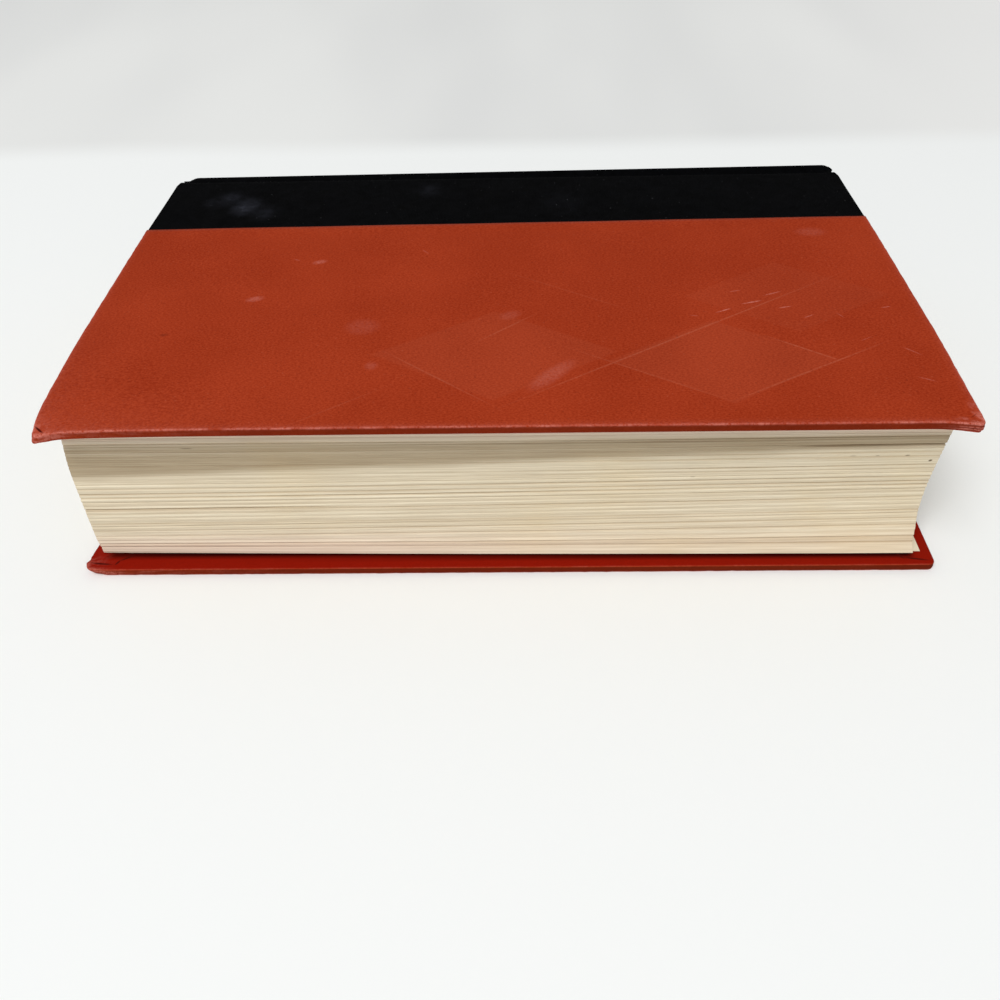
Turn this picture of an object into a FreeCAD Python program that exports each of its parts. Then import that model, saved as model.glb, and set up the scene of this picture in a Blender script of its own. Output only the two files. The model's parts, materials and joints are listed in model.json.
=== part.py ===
"""A hardback book, quarter bound and lying closed on its back cover.

Two boards with paper sides meet a strip of book cloth that runs over the rounded spine. The
text block lies between them on its endpapers, and each cover turns on the fold of cloth along
its joint. X runs along the book's height, Y from the fore-edge back to the spine and Z up.
Sections are drawn in millimetres from the fore-edge of the boards and from the table, and each
body's placement then centres the book on its depth. The front cover is the back cover's
features turned over.
"""
import FreeCAD, Part
import os
import re
import Sketcher

# Driving sizes in millimetres. Each one is a cell of the sheet.
SIZES = {
    "board_height": 241.0,    # head to tail, over the covering
    "board_width": 148.4,     # fore-edge to the board's hinge edge
    "book_thickness": 52.8,   # outside to outside of the closed covers
    "board_core": 2.1,        # greyboard
    "cover_paper": 0.2,
    "book_cloth": 0.35,
    "endpaper": 0.2,
    "turn_in": 15.0,          # covering folded over onto the inside of a board
    "cloth_visible": 36.0,    # bare cloth on the board, beside the joint
    "paper_lap": 5.0,         # side paper pasted over the cloth's edge
    "edge_round": 0.6,        # of the bare board's edges and corners
    "groove_width": 7.5,      # board edge to the fold on the shoulder
    "crest_drop": 1.0,        # the fold lies this far inside the cover's outer face
    "fore_square": 5.4,       # board past the leaves at the fore-edge
    "head_square": 3.1,       # board past the leaves at head and tail
    "head_hollow": 6.0,       # depth of the fore-edge's hollow, at the head of the leaves
    "tail_hollow": 1.0,       # and at their tail, where the book has slumped out
    "top_setback": 1.6,       # the top leaves have slid this far back
    "leaf_gap": 0.2,          # between a pastedown and the leaf that lies on it
    "mull_cloth": 0.2,
    "mull_flap_width": 25.0,  # mull pasted onto a board, from the board's hinge edge
    "mull_clear": 0.5,        # mull to the turn-ins at head and tail
    "spine_radius": 46.0,     # outside of the rounded spine
    "spine_card": 0.5,
    "spine_hollow": 0.6,      # the space of the hollow back
    "lining_paper": 0.2,
    "lining_short": 1.0,      # lining to the ends of the leaves
    "spine_end_round": 0.28,  # the cloth's fold at head and tail of the spine
    "fold_clear": 0.15,       # either side of the fold line
    "joint_clear": 0.3,       # sheets that end in the joint, to the shoulder
    "band_bead": 1.8,         # thickness of the headband's bead
    "band_clear": 0.1,        # bead to the cloth turned in over it
    "section_count": 30,      # folded sections in the text block
    "section_slot": 0.15,     # gap between two sections at the edge of the leaves
    "slot_depth": 0.35,
}

# Places and sizes that follow from the driving ones.
PLACES = {
    "paper_end": "board_width - cloth_visible",
    "cloth_start": "paper_end - paper_lap",
    "board_inside": "cover_paper + board_core",
    "lining_level": "board_inside + cover_paper",
    "pastedown_face": "lining_level + endpaper",
    "flyleaf_face": "pastedown_face + leaf_gap",
    "block_face": "flyleaf_face + endpaper",
    "covered_half": "board_height / 2",
    "board_half": "covered_half - cover_paper",
    "window_half": "covered_half - turn_in",
    "leaf_half": "covered_half - head_square",
    "mull_half": "window_half - mull_clear",
    "mull_start": "board_width - mull_flap_width",
    "middle": "book_thickness / 2",
    "fold_rise": "middle - crest_drop",
    "fold_place": "board_width + groove_width",
    "spine_centre": "fold_place - sqrt(spine_radius ^ 2 - fold_rise ^ 2)",
    "depth": "spine_centre + spine_radius",
    "fold_sine": "fold_rise / spine_radius",
    "fold_cosine": "sqrt(1 - fold_sine ^ 2)",
    "fold_angle": "asin(fold_sine)",
    "block_angle": "fold_angle - asin(fold_clear / spine_radius)",
    "card_radius": "spine_radius - book_cloth",
    "turned_radius": "card_radius - spine_card",
    "hollow_radius": "turned_radius - spine_hollow",
    "mull_radius": "hollow_radius - lining_paper",
    "back_radius": "mull_radius - mull_cloth",
    "groove_floor": "board_inside - book_cloth",
    "joint_end": "fold_place - (pastedown_face - crest_drop) * fold_cosine / fold_sine - joint_clear",
    "shoulder_foot": "spine_centre + (middle - block_face) / tan(block_angle)",
    "shoulder_tip": "spine_centre + back_radius * cos(block_angle)",
    "tip_level": "middle - back_radius * sin(block_angle)",
}

NEAR = 1e-3    # two places closer than this are the same place

doc = FreeCAD.newDocument("hardback_book")
sheet = doc.addObject("Spreadsheet::Sheet", "Sizes")
nodes = []


def fill_sheet():
    """Give every driving size a named cell."""
    for row, (name, size) in enumerate(SIZES.items(), start=1):
        sheet.set(f"A{row}", name)
        sheet.set(f"B{row}", str(size))
        sheet.setAlias(f"B{row}", name)
    doc.recompute()


def in_cells(text):
    """Write an expression out until it names only cells of the sheet."""
    def swap(match):
        word = match.group()
        if word in PLACES:
            return "(" + in_cells(PLACES[word]) + ")"
        return "Sizes." + word if word in SIZES else word
    return re.sub(r"[a-z_]+", swap, text)


def value(text):
    """The number that an expression has now."""
    result = sheet.evalExpression(in_cells(text))
    return float(getattr(result, "Value", result))


def new_body(name, turned=False):
    """Start a piece, centred on the book's depth. A turned one belongs to the front cover."""
    body = doc.addObject("PartDesign::Body", name)
    if turned:
        body.Placement.Rotation = FreeCAD.Rotation(FreeCAD.Vector(0, 1, 0), 180)
        body.setExpression("Placement.Base.z", in_cells("book_thickness"))
    body.setExpression("Placement.Base.y", in_cells("-depth / 2"))
    return body


def sketch_on(body, name, plane, across="", up="", out=""):
    """Attach a sketch to one of the body's own planes, shifted within it or away from it."""
    sketch = body.newObject("Sketcher::SketchObject", name)
    support = [item for item in body.Origin.OriginFeatures if item.Role == plane]
    sketch.AttachmentSupport = [(support[0], "")]
    sketch.MapMode = "FlatFace"
    for axis, text in zip("xyz", (across, up, out)):
        if text:
            sketch.setExpression("AttachmentOffset.Base." + axis, in_cells(text))
    return sketch


def pin(sketch, edge, end, across, up):
    """Hold one point of a sketch at a place that follows the sheet."""
    for kind, text in (("DistanceX", across), ("DistanceY", up)):
        held = sketch.addConstraint(Sketcher.Constraint(kind, -1, 1, edge, end, value(text)))
        sketch.setExpression(f"Constraints[{held}]", in_cells(text))


def draw(sketch, corners):
    """Draw a closed outline. A corner with four values is followed by an arc through a point."""
    places = [FreeCAD.Vector(value(corner[0]), value(corner[1])) for corner in corners]
    ends = []
    for number, corner in enumerate(corners):
        start = places[number]
        stop = places[(number + 1) % len(places)]
        if len(corner) == 2:
            edge = sketch.addGeometry(Part.LineSegment(start, stop))
            ends.append((edge, 1, 2))
            continue
        through = FreeCAD.Vector(value(corner[2]), value(corner[3]))
        edge = sketch.addGeometry(Part.Arc(start, through, stop))
        first = 1 if sketch.getPoint(edge, 1).distanceToPoint(start) < NEAR else 2
        ends.append((edge, first, 3 - first))
        mark = sketch.addGeometry(Part.Point(through), True)
        pin(sketch, mark, 1, corner[2], corner[3])
        sketch.addConstraint(Sketcher.Constraint("PointOnObject", mark, 1, edge))
    for number, corner in enumerate(corners):
        edge, first, _ = ends[number]
        before, _, last = ends[number - 1]
        sketch.addConstraint(Sketcher.Constraint("Coincident", before, last, edge, first))
        pin(sketch, edge, first, corner[0], corner[1])


def rectangle(sketch, left, right, low, high):
    """Draw a rectangle between two pairs of places."""
    draw(sketch, [(left, low), (right, low), (right, high), (left, high)])


def pad(body, name, sketch, length, symmetric=False):
    """Thicken a sketch, to one side of its plane or evenly to both."""
    feature = body.newObject("PartDesign::Pad", name)
    feature.Profile = sketch
    if symmetric:
        feature.SideType = "Symmetric"
    feature.setExpression("Length", in_cells(length))
    sketch.Visibility = False
    doc.recompute()
    return feature


def pocket(body, name, sketch, depth):
    """Cut a sketch into the body, up from its plane."""
    feature = body.newObject("PartDesign::Pocket", name)
    feature.Profile = sketch
    feature.Reversed = True
    feature.setExpression("Length", in_cells(depth))
    sketch.Visibility = False
    before = feature.BaseFeature.Shape.Volume
    doc.recompute()
    if feature.Shape.Volume >= before:
        raise RuntimeError(name + " cuts nothing")
    return feature


def spin(body, name, sketch, angle):
    """Turn a sketch about its own horizontal axis, evenly to both sides of its plane."""
    feature = body.newObject("PartDesign::Revolution", name)
    feature.Profile = sketch
    feature.ReferenceAxis = (sketch, ["H_Axis"])
    feature.Midplane = True
    feature.setExpression("Angle", in_cells(angle))
    sketch.Visibility = False
    doc.recompute()
    return feature


def sheet_of(body, name, half, start, end, low, thickness):
    """Pad a flat sheet: half its height to each side of the middle, from start to end."""
    sketch = sketch_on(body, name + "_outline", "XY_Plane", out=low)
    rectangle(sketch, "-" + half, half, start, end)
    return pad(body, name, sketch, thickness)


def round_edges(body, name, base, radius, keep):
    """Fillet the edges for which keep says yes."""
    edges = [f"Edge{n}" for n, edge in enumerate(base.Shape.Edges, start=1) if keep(edge)]
    feature = body.newObject("PartDesign::Fillet", name)
    feature.Base = (base, edges)
    feature.setExpression("Radius", in_cells(radius))
    doc.recompute()
    return feature


def hollow_out(body, name, base, wall, places):
    """Leave only a wall inside the surface, open where a face lies at one of the places in Y."""
    faces = []
    for number, face in enumerate(base.Shape.Faces, start=1):
        box = face.BoundBox
        if box.YLength < NEAR and any(abs(box.YMin - place) < NEAR for place in places):
            faces.append(f"Face{number}")
    feature = body.newObject("PartDesign::Thickness", name)
    feature.Base = (base, faces)
    feature.Reversed = True
    feature.Join = "Arc"
    feature.setExpression("Value", in_cells(wall))
    doc.recompute()
    return feature


def keep_node(piece, name):
    """Give a finished piece its name and list it for the step files."""
    piece.Label = name
    nodes.append(piece)


def free_edge(end):
    """A test for edges that lie off the plane where a covering or board ends in Y."""
    return lambda edge: edge.BoundBox.YMin < end - NEAR


def long_edge(edge):
    """A test for edges that run from the fore-edge towards the spine."""
    return edge.BoundBox.YLength > NEAR and edge.BoundBox.XLength < NEAR


def make_side_paper(side, turned):
    """The paper side: wrapped round three edges of the board, with turn-ins inside."""
    body = new_body(side + "_cover_paper", turned)
    block = sheet_of(body, "wrapped_block", "covered_half", "0", "paper_end", "0", "lining_level")
    end = value("paper_end")
    rounded = round_edges(body, "worn_edges", block, "edge_round + cover_paper", free_edge(end))
    hollow_out(body, "paper_wall", rounded, "cover_paper", [end])
    window = sketch_on(body, "turn_in_window", "XY_Plane", out="board_inside")
    rectangle(window, "-window_half", "window_half", "turn_in", "paper_end")
    pocket(body, "window_cut", window, "cover_paper")
    keep_node(body, side + "_cover_paper")


def make_cloth(side, turned):
    """The cloth on a board, from under the side paper to the fold on the shoulder."""
    body = new_body(side + "_cloth", turned)
    block = sheet_of(body, "covered_block", "board_half", "cloth_start", "board_width",
                     "cover_paper", "board_core")
    rounded = round_edges(body, "head_and_tail_edges", block, "edge_round", long_edge)
    hollow_out(body, "cloth_wall", rounded, "book_cloth",
               [value("cloth_start"), value("board_width")])
    window = sketch_on(body, "turn_in_window", "XY_Plane", out="groove_floor")
    rectangle(window, "-window_half", "window_half", "cloth_start", "board_width")
    pocket(body, "window_cut", window, "book_cloth")
    joint = sketch_on(body, "joint_section", "YZ_Plane")
    end_place = "fold_place - fold_clear * fold_cosine"
    end_level = "crest_drop + fold_clear * fold_sine"
    wall_corner = f"{end_place} - book_cloth * fold_sine"
    wall_level = f"{end_level} - book_cloth * fold_cosine"
    slope = "fold_cosine / fold_sine"
    draw(joint, [
        ("board_width", "cover_paper"),
        ("board_width + book_cloth", "cover_paper + book_cloth"),
        ("board_width + book_cloth", "groove_floor"),
        (f"{wall_corner} - (groove_floor - ({wall_level})) * {slope}", "groove_floor"),
        (wall_corner, wall_level),
        (end_place, end_level),
        (f"fold_place - (board_inside - crest_drop) * {slope}", "board_inside"),
        ("board_width", "board_inside"),
    ])
    pad(body, "joint_strip", joint, "2 * board_half", symmetric=True)
    keep_node(body, side + "_cloth")
    return body


def make_board(side, turned, cloth):
    """The greyboard, pressed in where the cloth lies on it."""
    body = new_body(side + "_blank", turned)
    block = sheet_of(body, "board_blank", "board_half", "cover_paper", "board_width",
                     "cover_paper", "board_core")
    round_edges(body, "board_edges", block, "edge_round", free_edge(value("board_width")))
    board = doc.addObject("Part::Cut", side + "_board")
    board.Base = body
    board.Tool = cloth
    keep_node(board, side + "_board")


def make_mull_flap(side, turned):
    """The open-weave cloth that ties the text block to a board."""
    body = new_body(side + "_mull_flap", turned)
    sheet_of(body, "flap", "mull_half", "mull_start", "joint_end", "board_inside", "mull_cloth")
    keep_node(body, side + "_mull_flap")


def make_pastedown(side, turned):
    """The pasted leaf of the endpaper, raised where a turn-in or the mull lies under it."""
    body = new_body(side + "_pastedown", turned)
    sheet_of(body, "leaf", "leaf_half", "fore_square", "joint_end",
             "board_inside", "endpaper + cover_paper")
    for head, sign in (("head", ""), ("tail", "-")):
        over_paper = sketch_on(body, head + "_turn_in", "XY_Plane", out="board_inside")
        rectangle(over_paper, sign + "window_half", sign + "leaf_half", "fore_square", "paper_end")
        pocket(body, "over_" + head + "_turn_in", over_paper, "cover_paper")
    over_fore = sketch_on(body, "fore_turn_in", "XY_Plane", out="board_inside")
    rectangle(over_fore, "-window_half", "window_half", "fore_square", "turn_in")
    pocket(body, "over_fore_turn_in", over_fore, "cover_paper")
    over_mull = sketch_on(body, "mull_place", "XY_Plane", out="board_inside")
    rectangle(over_mull, "-mull_half", "mull_half", "mull_start", "joint_end")
    pocket(body, "over_mull", over_mull, "mull_cloth")
    low = sketch_on(body, "bare_board", "XY_Plane", out="board_inside + endpaper")
    narrow = "(window_half - endpaper)"
    wide = "leaf_half"
    draw(low, [
        (narrow, "turn_in + endpaper"), (narrow, "paper_end + endpaper"),
        (wide, "paper_end + endpaper"), (wide, "joint_end"),
        ("mull_half + endpaper", "joint_end"), ("mull_half + endpaper", "mull_start - endpaper"),
        ("-(mull_half + endpaper)", "mull_start - endpaper"), ("-(mull_half + endpaper)", "joint_end"),
        ("-" + wide, "joint_end"), ("-" + wide, "paper_end + endpaper"),
        ("-" + narrow, "paper_end + endpaper"), ("-" + narrow, "turn_in + endpaper"),
    ])
    pocket(body, "dipped_leaf", low, "cover_paper")
    keep_node(body, side + "_pastedown")


def make_cover(side, turned):
    """One whole cover, from its side paper in to its pastedown."""
    make_side_paper(side, turned)
    cloth = make_cloth(side, turned)
    make_board(side, turned, cloth)
    make_mull_flap(side, turned)
    make_pastedown(side, turned)


def block_section(body, end, inset):
    """Section of the text block at head or tail: hollow fore-edge, shoulders and rounded back."""
    away = "leaf_half" + (f" - {inset}" if inset else "")
    section = sketch_on(body, end + "_section", "YZ_Plane", out=away if end == "head" else f"-({away})")
    fore = "fore_square" + (f" + {inset}" if inset else "")
    low = "block_face"
    high = "(book_thickness - block_face)"
    draw(section, [
        (fore, low),
        ("shoulder_foot", low),
        ("shoulder_tip", "tip_level", "spine_centre + back_radius", "middle"),
        ("shoulder_tip", "book_thickness - tip_level"),
        ("shoulder_foot", high),
        (fore + " + top_setback", high, f"{fore} + top_setback / 2 + {end}_hollow", "middle"),
    ])
    return section


def block_of_leaves(name, inset=""):
    """Loft the leaves from the section at their tail to the one at their head."""
    body = new_body(name)
    tail = block_section(body, "tail", inset)
    head = block_section(body, "head", inset)
    loft = body.newObject("PartDesign::AdditiveLoft", name + "_loft")
    loft.Profile = tail
    loft.Sections = [head]
    loft.Ruled = True
    tail.Visibility = head.Visibility = False
    doc.recompute()
    return body


def make_text_block():
    """All leaves as one solid, with a fine gap at the edge between each pair of sections."""
    whole = block_of_leaves("whole_block")
    core = block_of_leaves("block_core", "slot_depth")
    count = int(sheet.section_count)
    plates = []
    for number in range(1, count):
        plate = doc.addObject("Part::Box", f"section_gap_{number}")
        level = f"block_face + (book_thickness - 2 * block_face) * {number} / section_count"
        plate.setExpression("Length", in_cells("2 * covered_half"))
        plate.setExpression("Width", in_cells("fold_place"))
        plate.setExpression("Height", in_cells("section_slot"))
        plate.setExpression("Placement.Base.x", in_cells("-covered_half"))
        plate.setExpression("Placement.Base.y", in_cells("-depth / 2"))
        plate.setExpression("Placement.Base.z", in_cells(f"{level} - section_slot / 2"))
        plates.append(plate)
    stack = doc.addObject("Part::Compound", "section_gaps")
    stack.Links = plates
    slots = doc.addObject("Part::Cut", "edge_slots")
    slots.Base = stack
    slots.Tool = core
    block = doc.addObject("Part::Cut", "text_block")
    block.Base = whole
    block.Tool = slots
    keep_node(block, "text_block")


def make_flyleaves():
    """The free leaves of the two endpapers, tipped onto the text block."""
    for side, turned, setback in (("back", False, ""), ("front", True, " + top_setback")):
        body = new_body(side + "_flyleaf", turned)
        sheet_of(body, "free_leaf", "leaf_half", "fore_square" + setback,
                 "shoulder_foot - fold_clear", "flyleaf_face", "endpaper")
        keep_node(body, side + "_flyleaf")


def curved_layer(name, half, inner, outer):
    """A layer that lies round the whole back, between two radii."""
    body = new_body(name)
    section = sketch_on(body, name + "_section", "XY_Plane", up="spine_centre", out="middle")
    rectangle(section, "-" + half, half, inner, outer)
    spin(body, name + "_turn", section, "2 * block_angle")
    keep_node(body, name)


def make_spine_cloth():
    """The cloth over the spine, turned in round both ends of the card."""
    body = new_body("spine_cloth")
    section = sketch_on(body, "turned_section", "XY_Plane", up="spine_centre", out="middle")
    end = "covered_half"
    fold = "(covered_half - book_cloth)"
    inner = "turned_radius - book_cloth"
    draw(section, [
        ("-" + end, inner), ("-window_half", inner), ("-window_half", "turned_radius"),
        ("-" + fold, "turned_radius"), ("-" + fold, "card_radius"),
        (fold, "card_radius"), (fold, "turned_radius"),
        ("window_half", "turned_radius"), ("window_half", inner), (end, inner),
        (end, "spine_radius"), ("-" + end, "spine_radius"),
    ])
    turn = spin(body, "cloth_turn", section, "2 * block_angle")
    ends = [value("covered_half"), -value("covered_half")]
    round_edges(body, "soft_ends", turn, "spine_end_round", lambda edge: outer_arc(edge, ends))
    keep_node(body, "spine_cloth")


def outer_arc(edge, ends):
    """A test for the arcs where the spine's outside meets its two ends."""
    box = edge.BoundBox
    at_end = box.XLength < NEAR and any(abs(box.XMin - end) < NEAR for end in ends)
    radius = getattr(edge.Curve, "Radius", 0)
    return at_end and abs(radius - value("spine_radius")) < NEAR


def make_band(name, sign):
    """A headband: tape glued to the back of the leaves, and a half-round bead on their edge."""
    body = new_body(name)
    centre = "turned_radius - book_cloth - band_clear - band_bead / 2"
    tape = sketch_on(body, "tape_section", "XY_Plane", up="spine_centre", out="middle")
    rectangle(tape, f"{sign}(mull_half + mull_clear)", f"{sign}leaf_half",
              "back_radius", "mull_radius")
    spin(body, "tape", tape, "2 * block_angle")
    bead = sketch_on(body, "bead_section", "XY_Plane", up="spine_centre", out="middle")
    near = f"{sign}leaf_half"
    crown = f"{sign}(leaf_half + band_bead / 2)"
    draw(bead, [
        (near, f"{centre} - band_bead / 2"),
        (near, f"{centre} + band_bead / 2", crown, centre),
    ])
    spin(body, "bead", bead, "2 * block_angle")
    keep_node(body, name)


def make_spine():
    """Everything that lies round the back of the leaves, from the inside out."""
    curved_layer("spine_mull", "mull_half", "back_radius", "mull_radius")
    make_band("head_band", "")
    make_band("tail_band", "-")
    curved_layer("spine_lining", "(leaf_half - lining_short)", "mull_radius", "hollow_radius")
    curved_layer("spine_inlay", "(covered_half - book_cloth)", "turned_radius", "card_radius")
    make_spine_cloth()


def check_document():
    """Stop if any feature failed or a piece has no sound solid."""
    doc.recompute()
    for item in doc.Objects:
        if "Invalid" in item.State or "Error" in item.State:
            raise RuntimeError(item.Name + " failed to recompute")
    for piece in nodes:
        if piece.Shape.isNull() or not piece.Shape.isValid() or not piece.Shape.Solids:
            raise RuntimeError(piece.Label + " has no valid solid")


def write_steps():
    """Write one step file for each piece."""
    os.makedirs("parts", exist_ok=True)
    for piece in nodes:
        piece.Shape.exportStep(f"parts/{piece.Label}.step")
        box = piece.Shape.BoundBox
        print(f"{piece.Label}: {len(piece.Shape.Solids)} solid, {piece.Shape.Volume:.1f} mm3, "
              f"z {box.ZMin:.2f} to {box.ZMax:.2f}")


fill_sheet()
make_cover("back", turned=False)
make_cover("front", turned=True)
make_text_block()
make_flyleaves()
make_spine()
check_document()
write_steps()
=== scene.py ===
# %% [markdown]
# # A thick hardback book, quarter bound
#
# A cased book is a text block held in a cover. The cover is two boards with red paper sides and one strip of
# black cloth that runs over the rounded spine. Every piece here but the mull and the spine lining is a
# surface worked out with numpy, and goes where the imported model says.

# %% Load the imported model
import json
import math

import bmesh
import bpy
import numpy as np
from mathutils import Matrix, Vector


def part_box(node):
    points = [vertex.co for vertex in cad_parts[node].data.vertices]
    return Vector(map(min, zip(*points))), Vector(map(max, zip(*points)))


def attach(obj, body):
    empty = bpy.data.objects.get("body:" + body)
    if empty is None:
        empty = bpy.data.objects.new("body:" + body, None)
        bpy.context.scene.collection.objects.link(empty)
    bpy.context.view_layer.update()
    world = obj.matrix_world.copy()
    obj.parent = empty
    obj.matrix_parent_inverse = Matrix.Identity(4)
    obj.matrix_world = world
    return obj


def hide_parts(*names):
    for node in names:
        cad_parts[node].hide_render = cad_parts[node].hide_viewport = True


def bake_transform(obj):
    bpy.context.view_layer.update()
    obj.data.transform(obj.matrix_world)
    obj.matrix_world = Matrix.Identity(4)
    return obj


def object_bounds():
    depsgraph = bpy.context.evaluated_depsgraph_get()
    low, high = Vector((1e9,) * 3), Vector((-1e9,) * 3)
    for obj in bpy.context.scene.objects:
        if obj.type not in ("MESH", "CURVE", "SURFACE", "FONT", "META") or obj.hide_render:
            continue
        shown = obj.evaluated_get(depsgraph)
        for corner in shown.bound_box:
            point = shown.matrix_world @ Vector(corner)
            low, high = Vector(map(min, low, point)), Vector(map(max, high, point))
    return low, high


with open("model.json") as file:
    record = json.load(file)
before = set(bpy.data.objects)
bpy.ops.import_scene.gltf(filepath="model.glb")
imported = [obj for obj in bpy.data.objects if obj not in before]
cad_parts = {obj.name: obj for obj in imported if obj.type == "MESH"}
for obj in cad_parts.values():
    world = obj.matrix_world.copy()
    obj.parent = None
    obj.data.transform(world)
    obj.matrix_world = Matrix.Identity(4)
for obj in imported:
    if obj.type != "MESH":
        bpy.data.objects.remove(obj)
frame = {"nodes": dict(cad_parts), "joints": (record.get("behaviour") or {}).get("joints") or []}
cad_low, cad_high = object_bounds()

# %% [markdown]
# ## Sizes
#
# A binder measures a book from the fore-edge of its boards and from the outside of a cover. The
# same three measures are used here, in millimetres: x along the height, then the distance from
# the fore-edge, then the depth below a cover's outer face. All of them are read from the frame.

# %% Measure the frame
MM = 0.001
FORE_EDGE = cad_low.y / MM
THICKNESS = cad_high.z / MM
HALF_HEIGHT = cad_high.x / MM


def measure(name):
    """Lowest and highest corner of a CAD node: x, distance from the fore-edge, level."""
    low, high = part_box(name)
    shift = np.array([0.0, FORE_EDGE, 0.0])
    return np.array(low) / MM - shift, np.array(high) / MM - shift


paper_high = measure("back_cover_paper")[1]
board_low, board_high = measure("back_board")
cloth_low = measure("back_cloth")[0]
leaf_low, leaf_high = measure("back_flyleaf")
pasted_low, pasted_high = measure("back_pastedown")
front_leaf_low, front_leaf_high = measure("front_flyleaf")
block_low, block_high = measure("text_block")
spine_high = measure("spine_cloth")[1]
inlay_high = measure("spine_inlay")[1]
mull_high = measure("spine_mull")[1]

PAPER = board_low[2]                      # thickness of the side paper
PAPER_END = paper_high[1]                 # where the red paper stops on the cloth
COVER_DEPTH = paper_high[2]               # outer face to the turn-in's inner face
BOARD_INSIDE = board_high[2]
BOARD_WIDTH = board_high[1]
CLOTH_START = cloth_low[1]
LEAF_HALF = block_high[0]
LEAF_FACE = leaf_high[2]                  # the first leaf of the block lies at this level
MIDDLE = THICKNESS / 2

fold = next(joint for joint in frame["joints"] if joint["name"] == "back_cover_hinge")
FOLD_PLACE = fold["pos_m"][1] / MM - FORE_EDGE
FOLD_DEPTH = fold["pos_m"][2] / MM
half_chord = MIDDLE - FOLD_DEPTH
bulge = spine_high[1] - FOLD_PLACE
SPINE_RADIUS = (half_chord ** 2 + bulge ** 2) / (2 * bulge)
SPINE_CENTRE = spine_high[1] - SPINE_RADIUS
FOLD_ANGLE = math.asin(half_chord / SPINE_RADIUS)
BACK_RADIUS = block_high[1] - SPINE_CENTRE
TURN_IN = 15.0                            # covering folded over onto the inside of a board
CLOTH = 0.17                              # one layer of book cloth, pressed flat
print(f"board {2 * HALF_HEIGHT:.1f} by {BOARD_WIDTH:.1f}, book {THICKNESS:.1f} thick, "
      f"spine radius {SPINE_RADIUS:.2f}, fold at {FOLD_PLACE:.2f}")

# %% [markdown]
# ## Camera
#
# The photograph looks down on the fore-edge from close by, which spreads the near corners. The
# camera stands where the edges of both boards meet the photograph's, to about a pixel.

# %% Camera
FOCAL = 957.1                             # in pixels of a 1000 pixel frame
YAW, PITCH, ROLL = (math.radians(angle) for angle in (-1.87, 42.02, -1.71))
STANDPOINT = np.array([5.7, -189.9, 199.2])


def to_frame(points):
    """Turn x, distance from the fore-edge and level into the frame's metres."""
    return (np.asarray(points, float) + (0.0, FORE_EDGE, 0.0)) * MM


def add_camera():
    """Aim a camera by yaw, pitch and roll from the point where the photographer stood."""
    forward = Vector((math.sin(YAW) * math.cos(PITCH), math.cos(YAW) * math.cos(PITCH), -math.sin(PITCH)))
    level = Vector((math.cos(YAW), -math.sin(YAW), 0.0))
    upright = level.cross(forward)
    right = math.cos(ROLL) * level + math.sin(ROLL) * upright
    up = math.cos(ROLL) * upright - math.sin(ROLL) * level
    data = bpy.data.cameras.new("camera")
    data.sensor_width = 36.0
    data.lens = FOCAL / 1000 * data.sensor_width
    data.clip_start = 0.01
    camera = bpy.data.objects.new("camera", data)
    turn = Matrix((right, up, -forward)).transposed().to_4x4()
    camera.matrix_world = Matrix.Translation(Vector(to_frame(STANDPOINT))) @ turn
    bpy.context.scene.collection.objects.link(camera)
    bpy.context.scene.camera = camera


add_camera()

# %% [markdown]
# ## From arrays to pieces
#
# Each surface is a grid of points: rows and columns of one array. Neighbours in the grid make the
# faces, so no loop walks over the vertices. Grids that share an edge are merged afterwards.

# %% Grids and pieces
SMOOTH_UNDER = math.radians(38)


def points_at(*parts):
    """Stack x, distance and level, each a number or an array, into one array of points."""
    return np.stack(np.broadcast_arrays(*parts), -1)


def grid_faces(rows, columns, closed=False):
    """Number the quads between neighbouring points of a grid, counted row by row."""
    number = np.arange(rows * columns).reshape(rows, columns)
    if closed:
        number = np.concatenate([number, number[:, :1]], axis=1)
    corners = (number[:-1, :-1], number[:-1, 1:], number[1:, 1:], number[1:, :-1])
    return np.stack(corners, axis=-1).reshape(-1, 4)


def turned_out(points, faces, outward):
    """Reverse the faces if, on the whole, they look against the outward directions."""
    first, second, third = (points[faces[:, corner]] for corner in (0, 1, 2))
    normals = np.cross(second - first, third - first)
    return faces if (normals * outward[faces[:, 0]]).sum() > 0 else faces[:, ::-1]


def stack(*parts):
    """Join parts, each given as points and faces, into one list of points and faces."""
    start = 0
    points, faces = [], []
    for part_points, part_faces in parts:
        points.append(part_points)
        faces.append(part_faces + start)
        start += len(part_points)
    return np.concatenate(points), np.concatenate(faces)


def between(outer, inner):
    """Close the space between two matching grids: both faces and the narrow rim round them."""
    rows, columns = outer.shape[:2]
    count = rows * columns
    number = np.arange(count).reshape(rows, columns)
    border = np.concatenate([number[0], number[1:, -1], number[-1, -2::-1], number[-2:0:-1, 0]])
    after = np.roll(border, -1)
    rim = np.stack([after, border, border + count, after + count], axis=-1)
    faces = grid_faces(rows, columns)
    points = np.concatenate([outer.reshape(-1, 3), inner.reshape(-1, 3)])
    return points, np.concatenate([faces, faces[:, ::-1] + count, rim])


def volume(points, faces):
    """Signed volume inside closed quads: positive where the faces look outwards."""
    a, b, c, d = (points[faces[:, corner]] for corner in range(4))
    return (np.einsum("ij,ij->i", a, np.cross(b, c)) + np.einsum("ij,ij->i", a, np.cross(c, d))).sum() / 6


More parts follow.
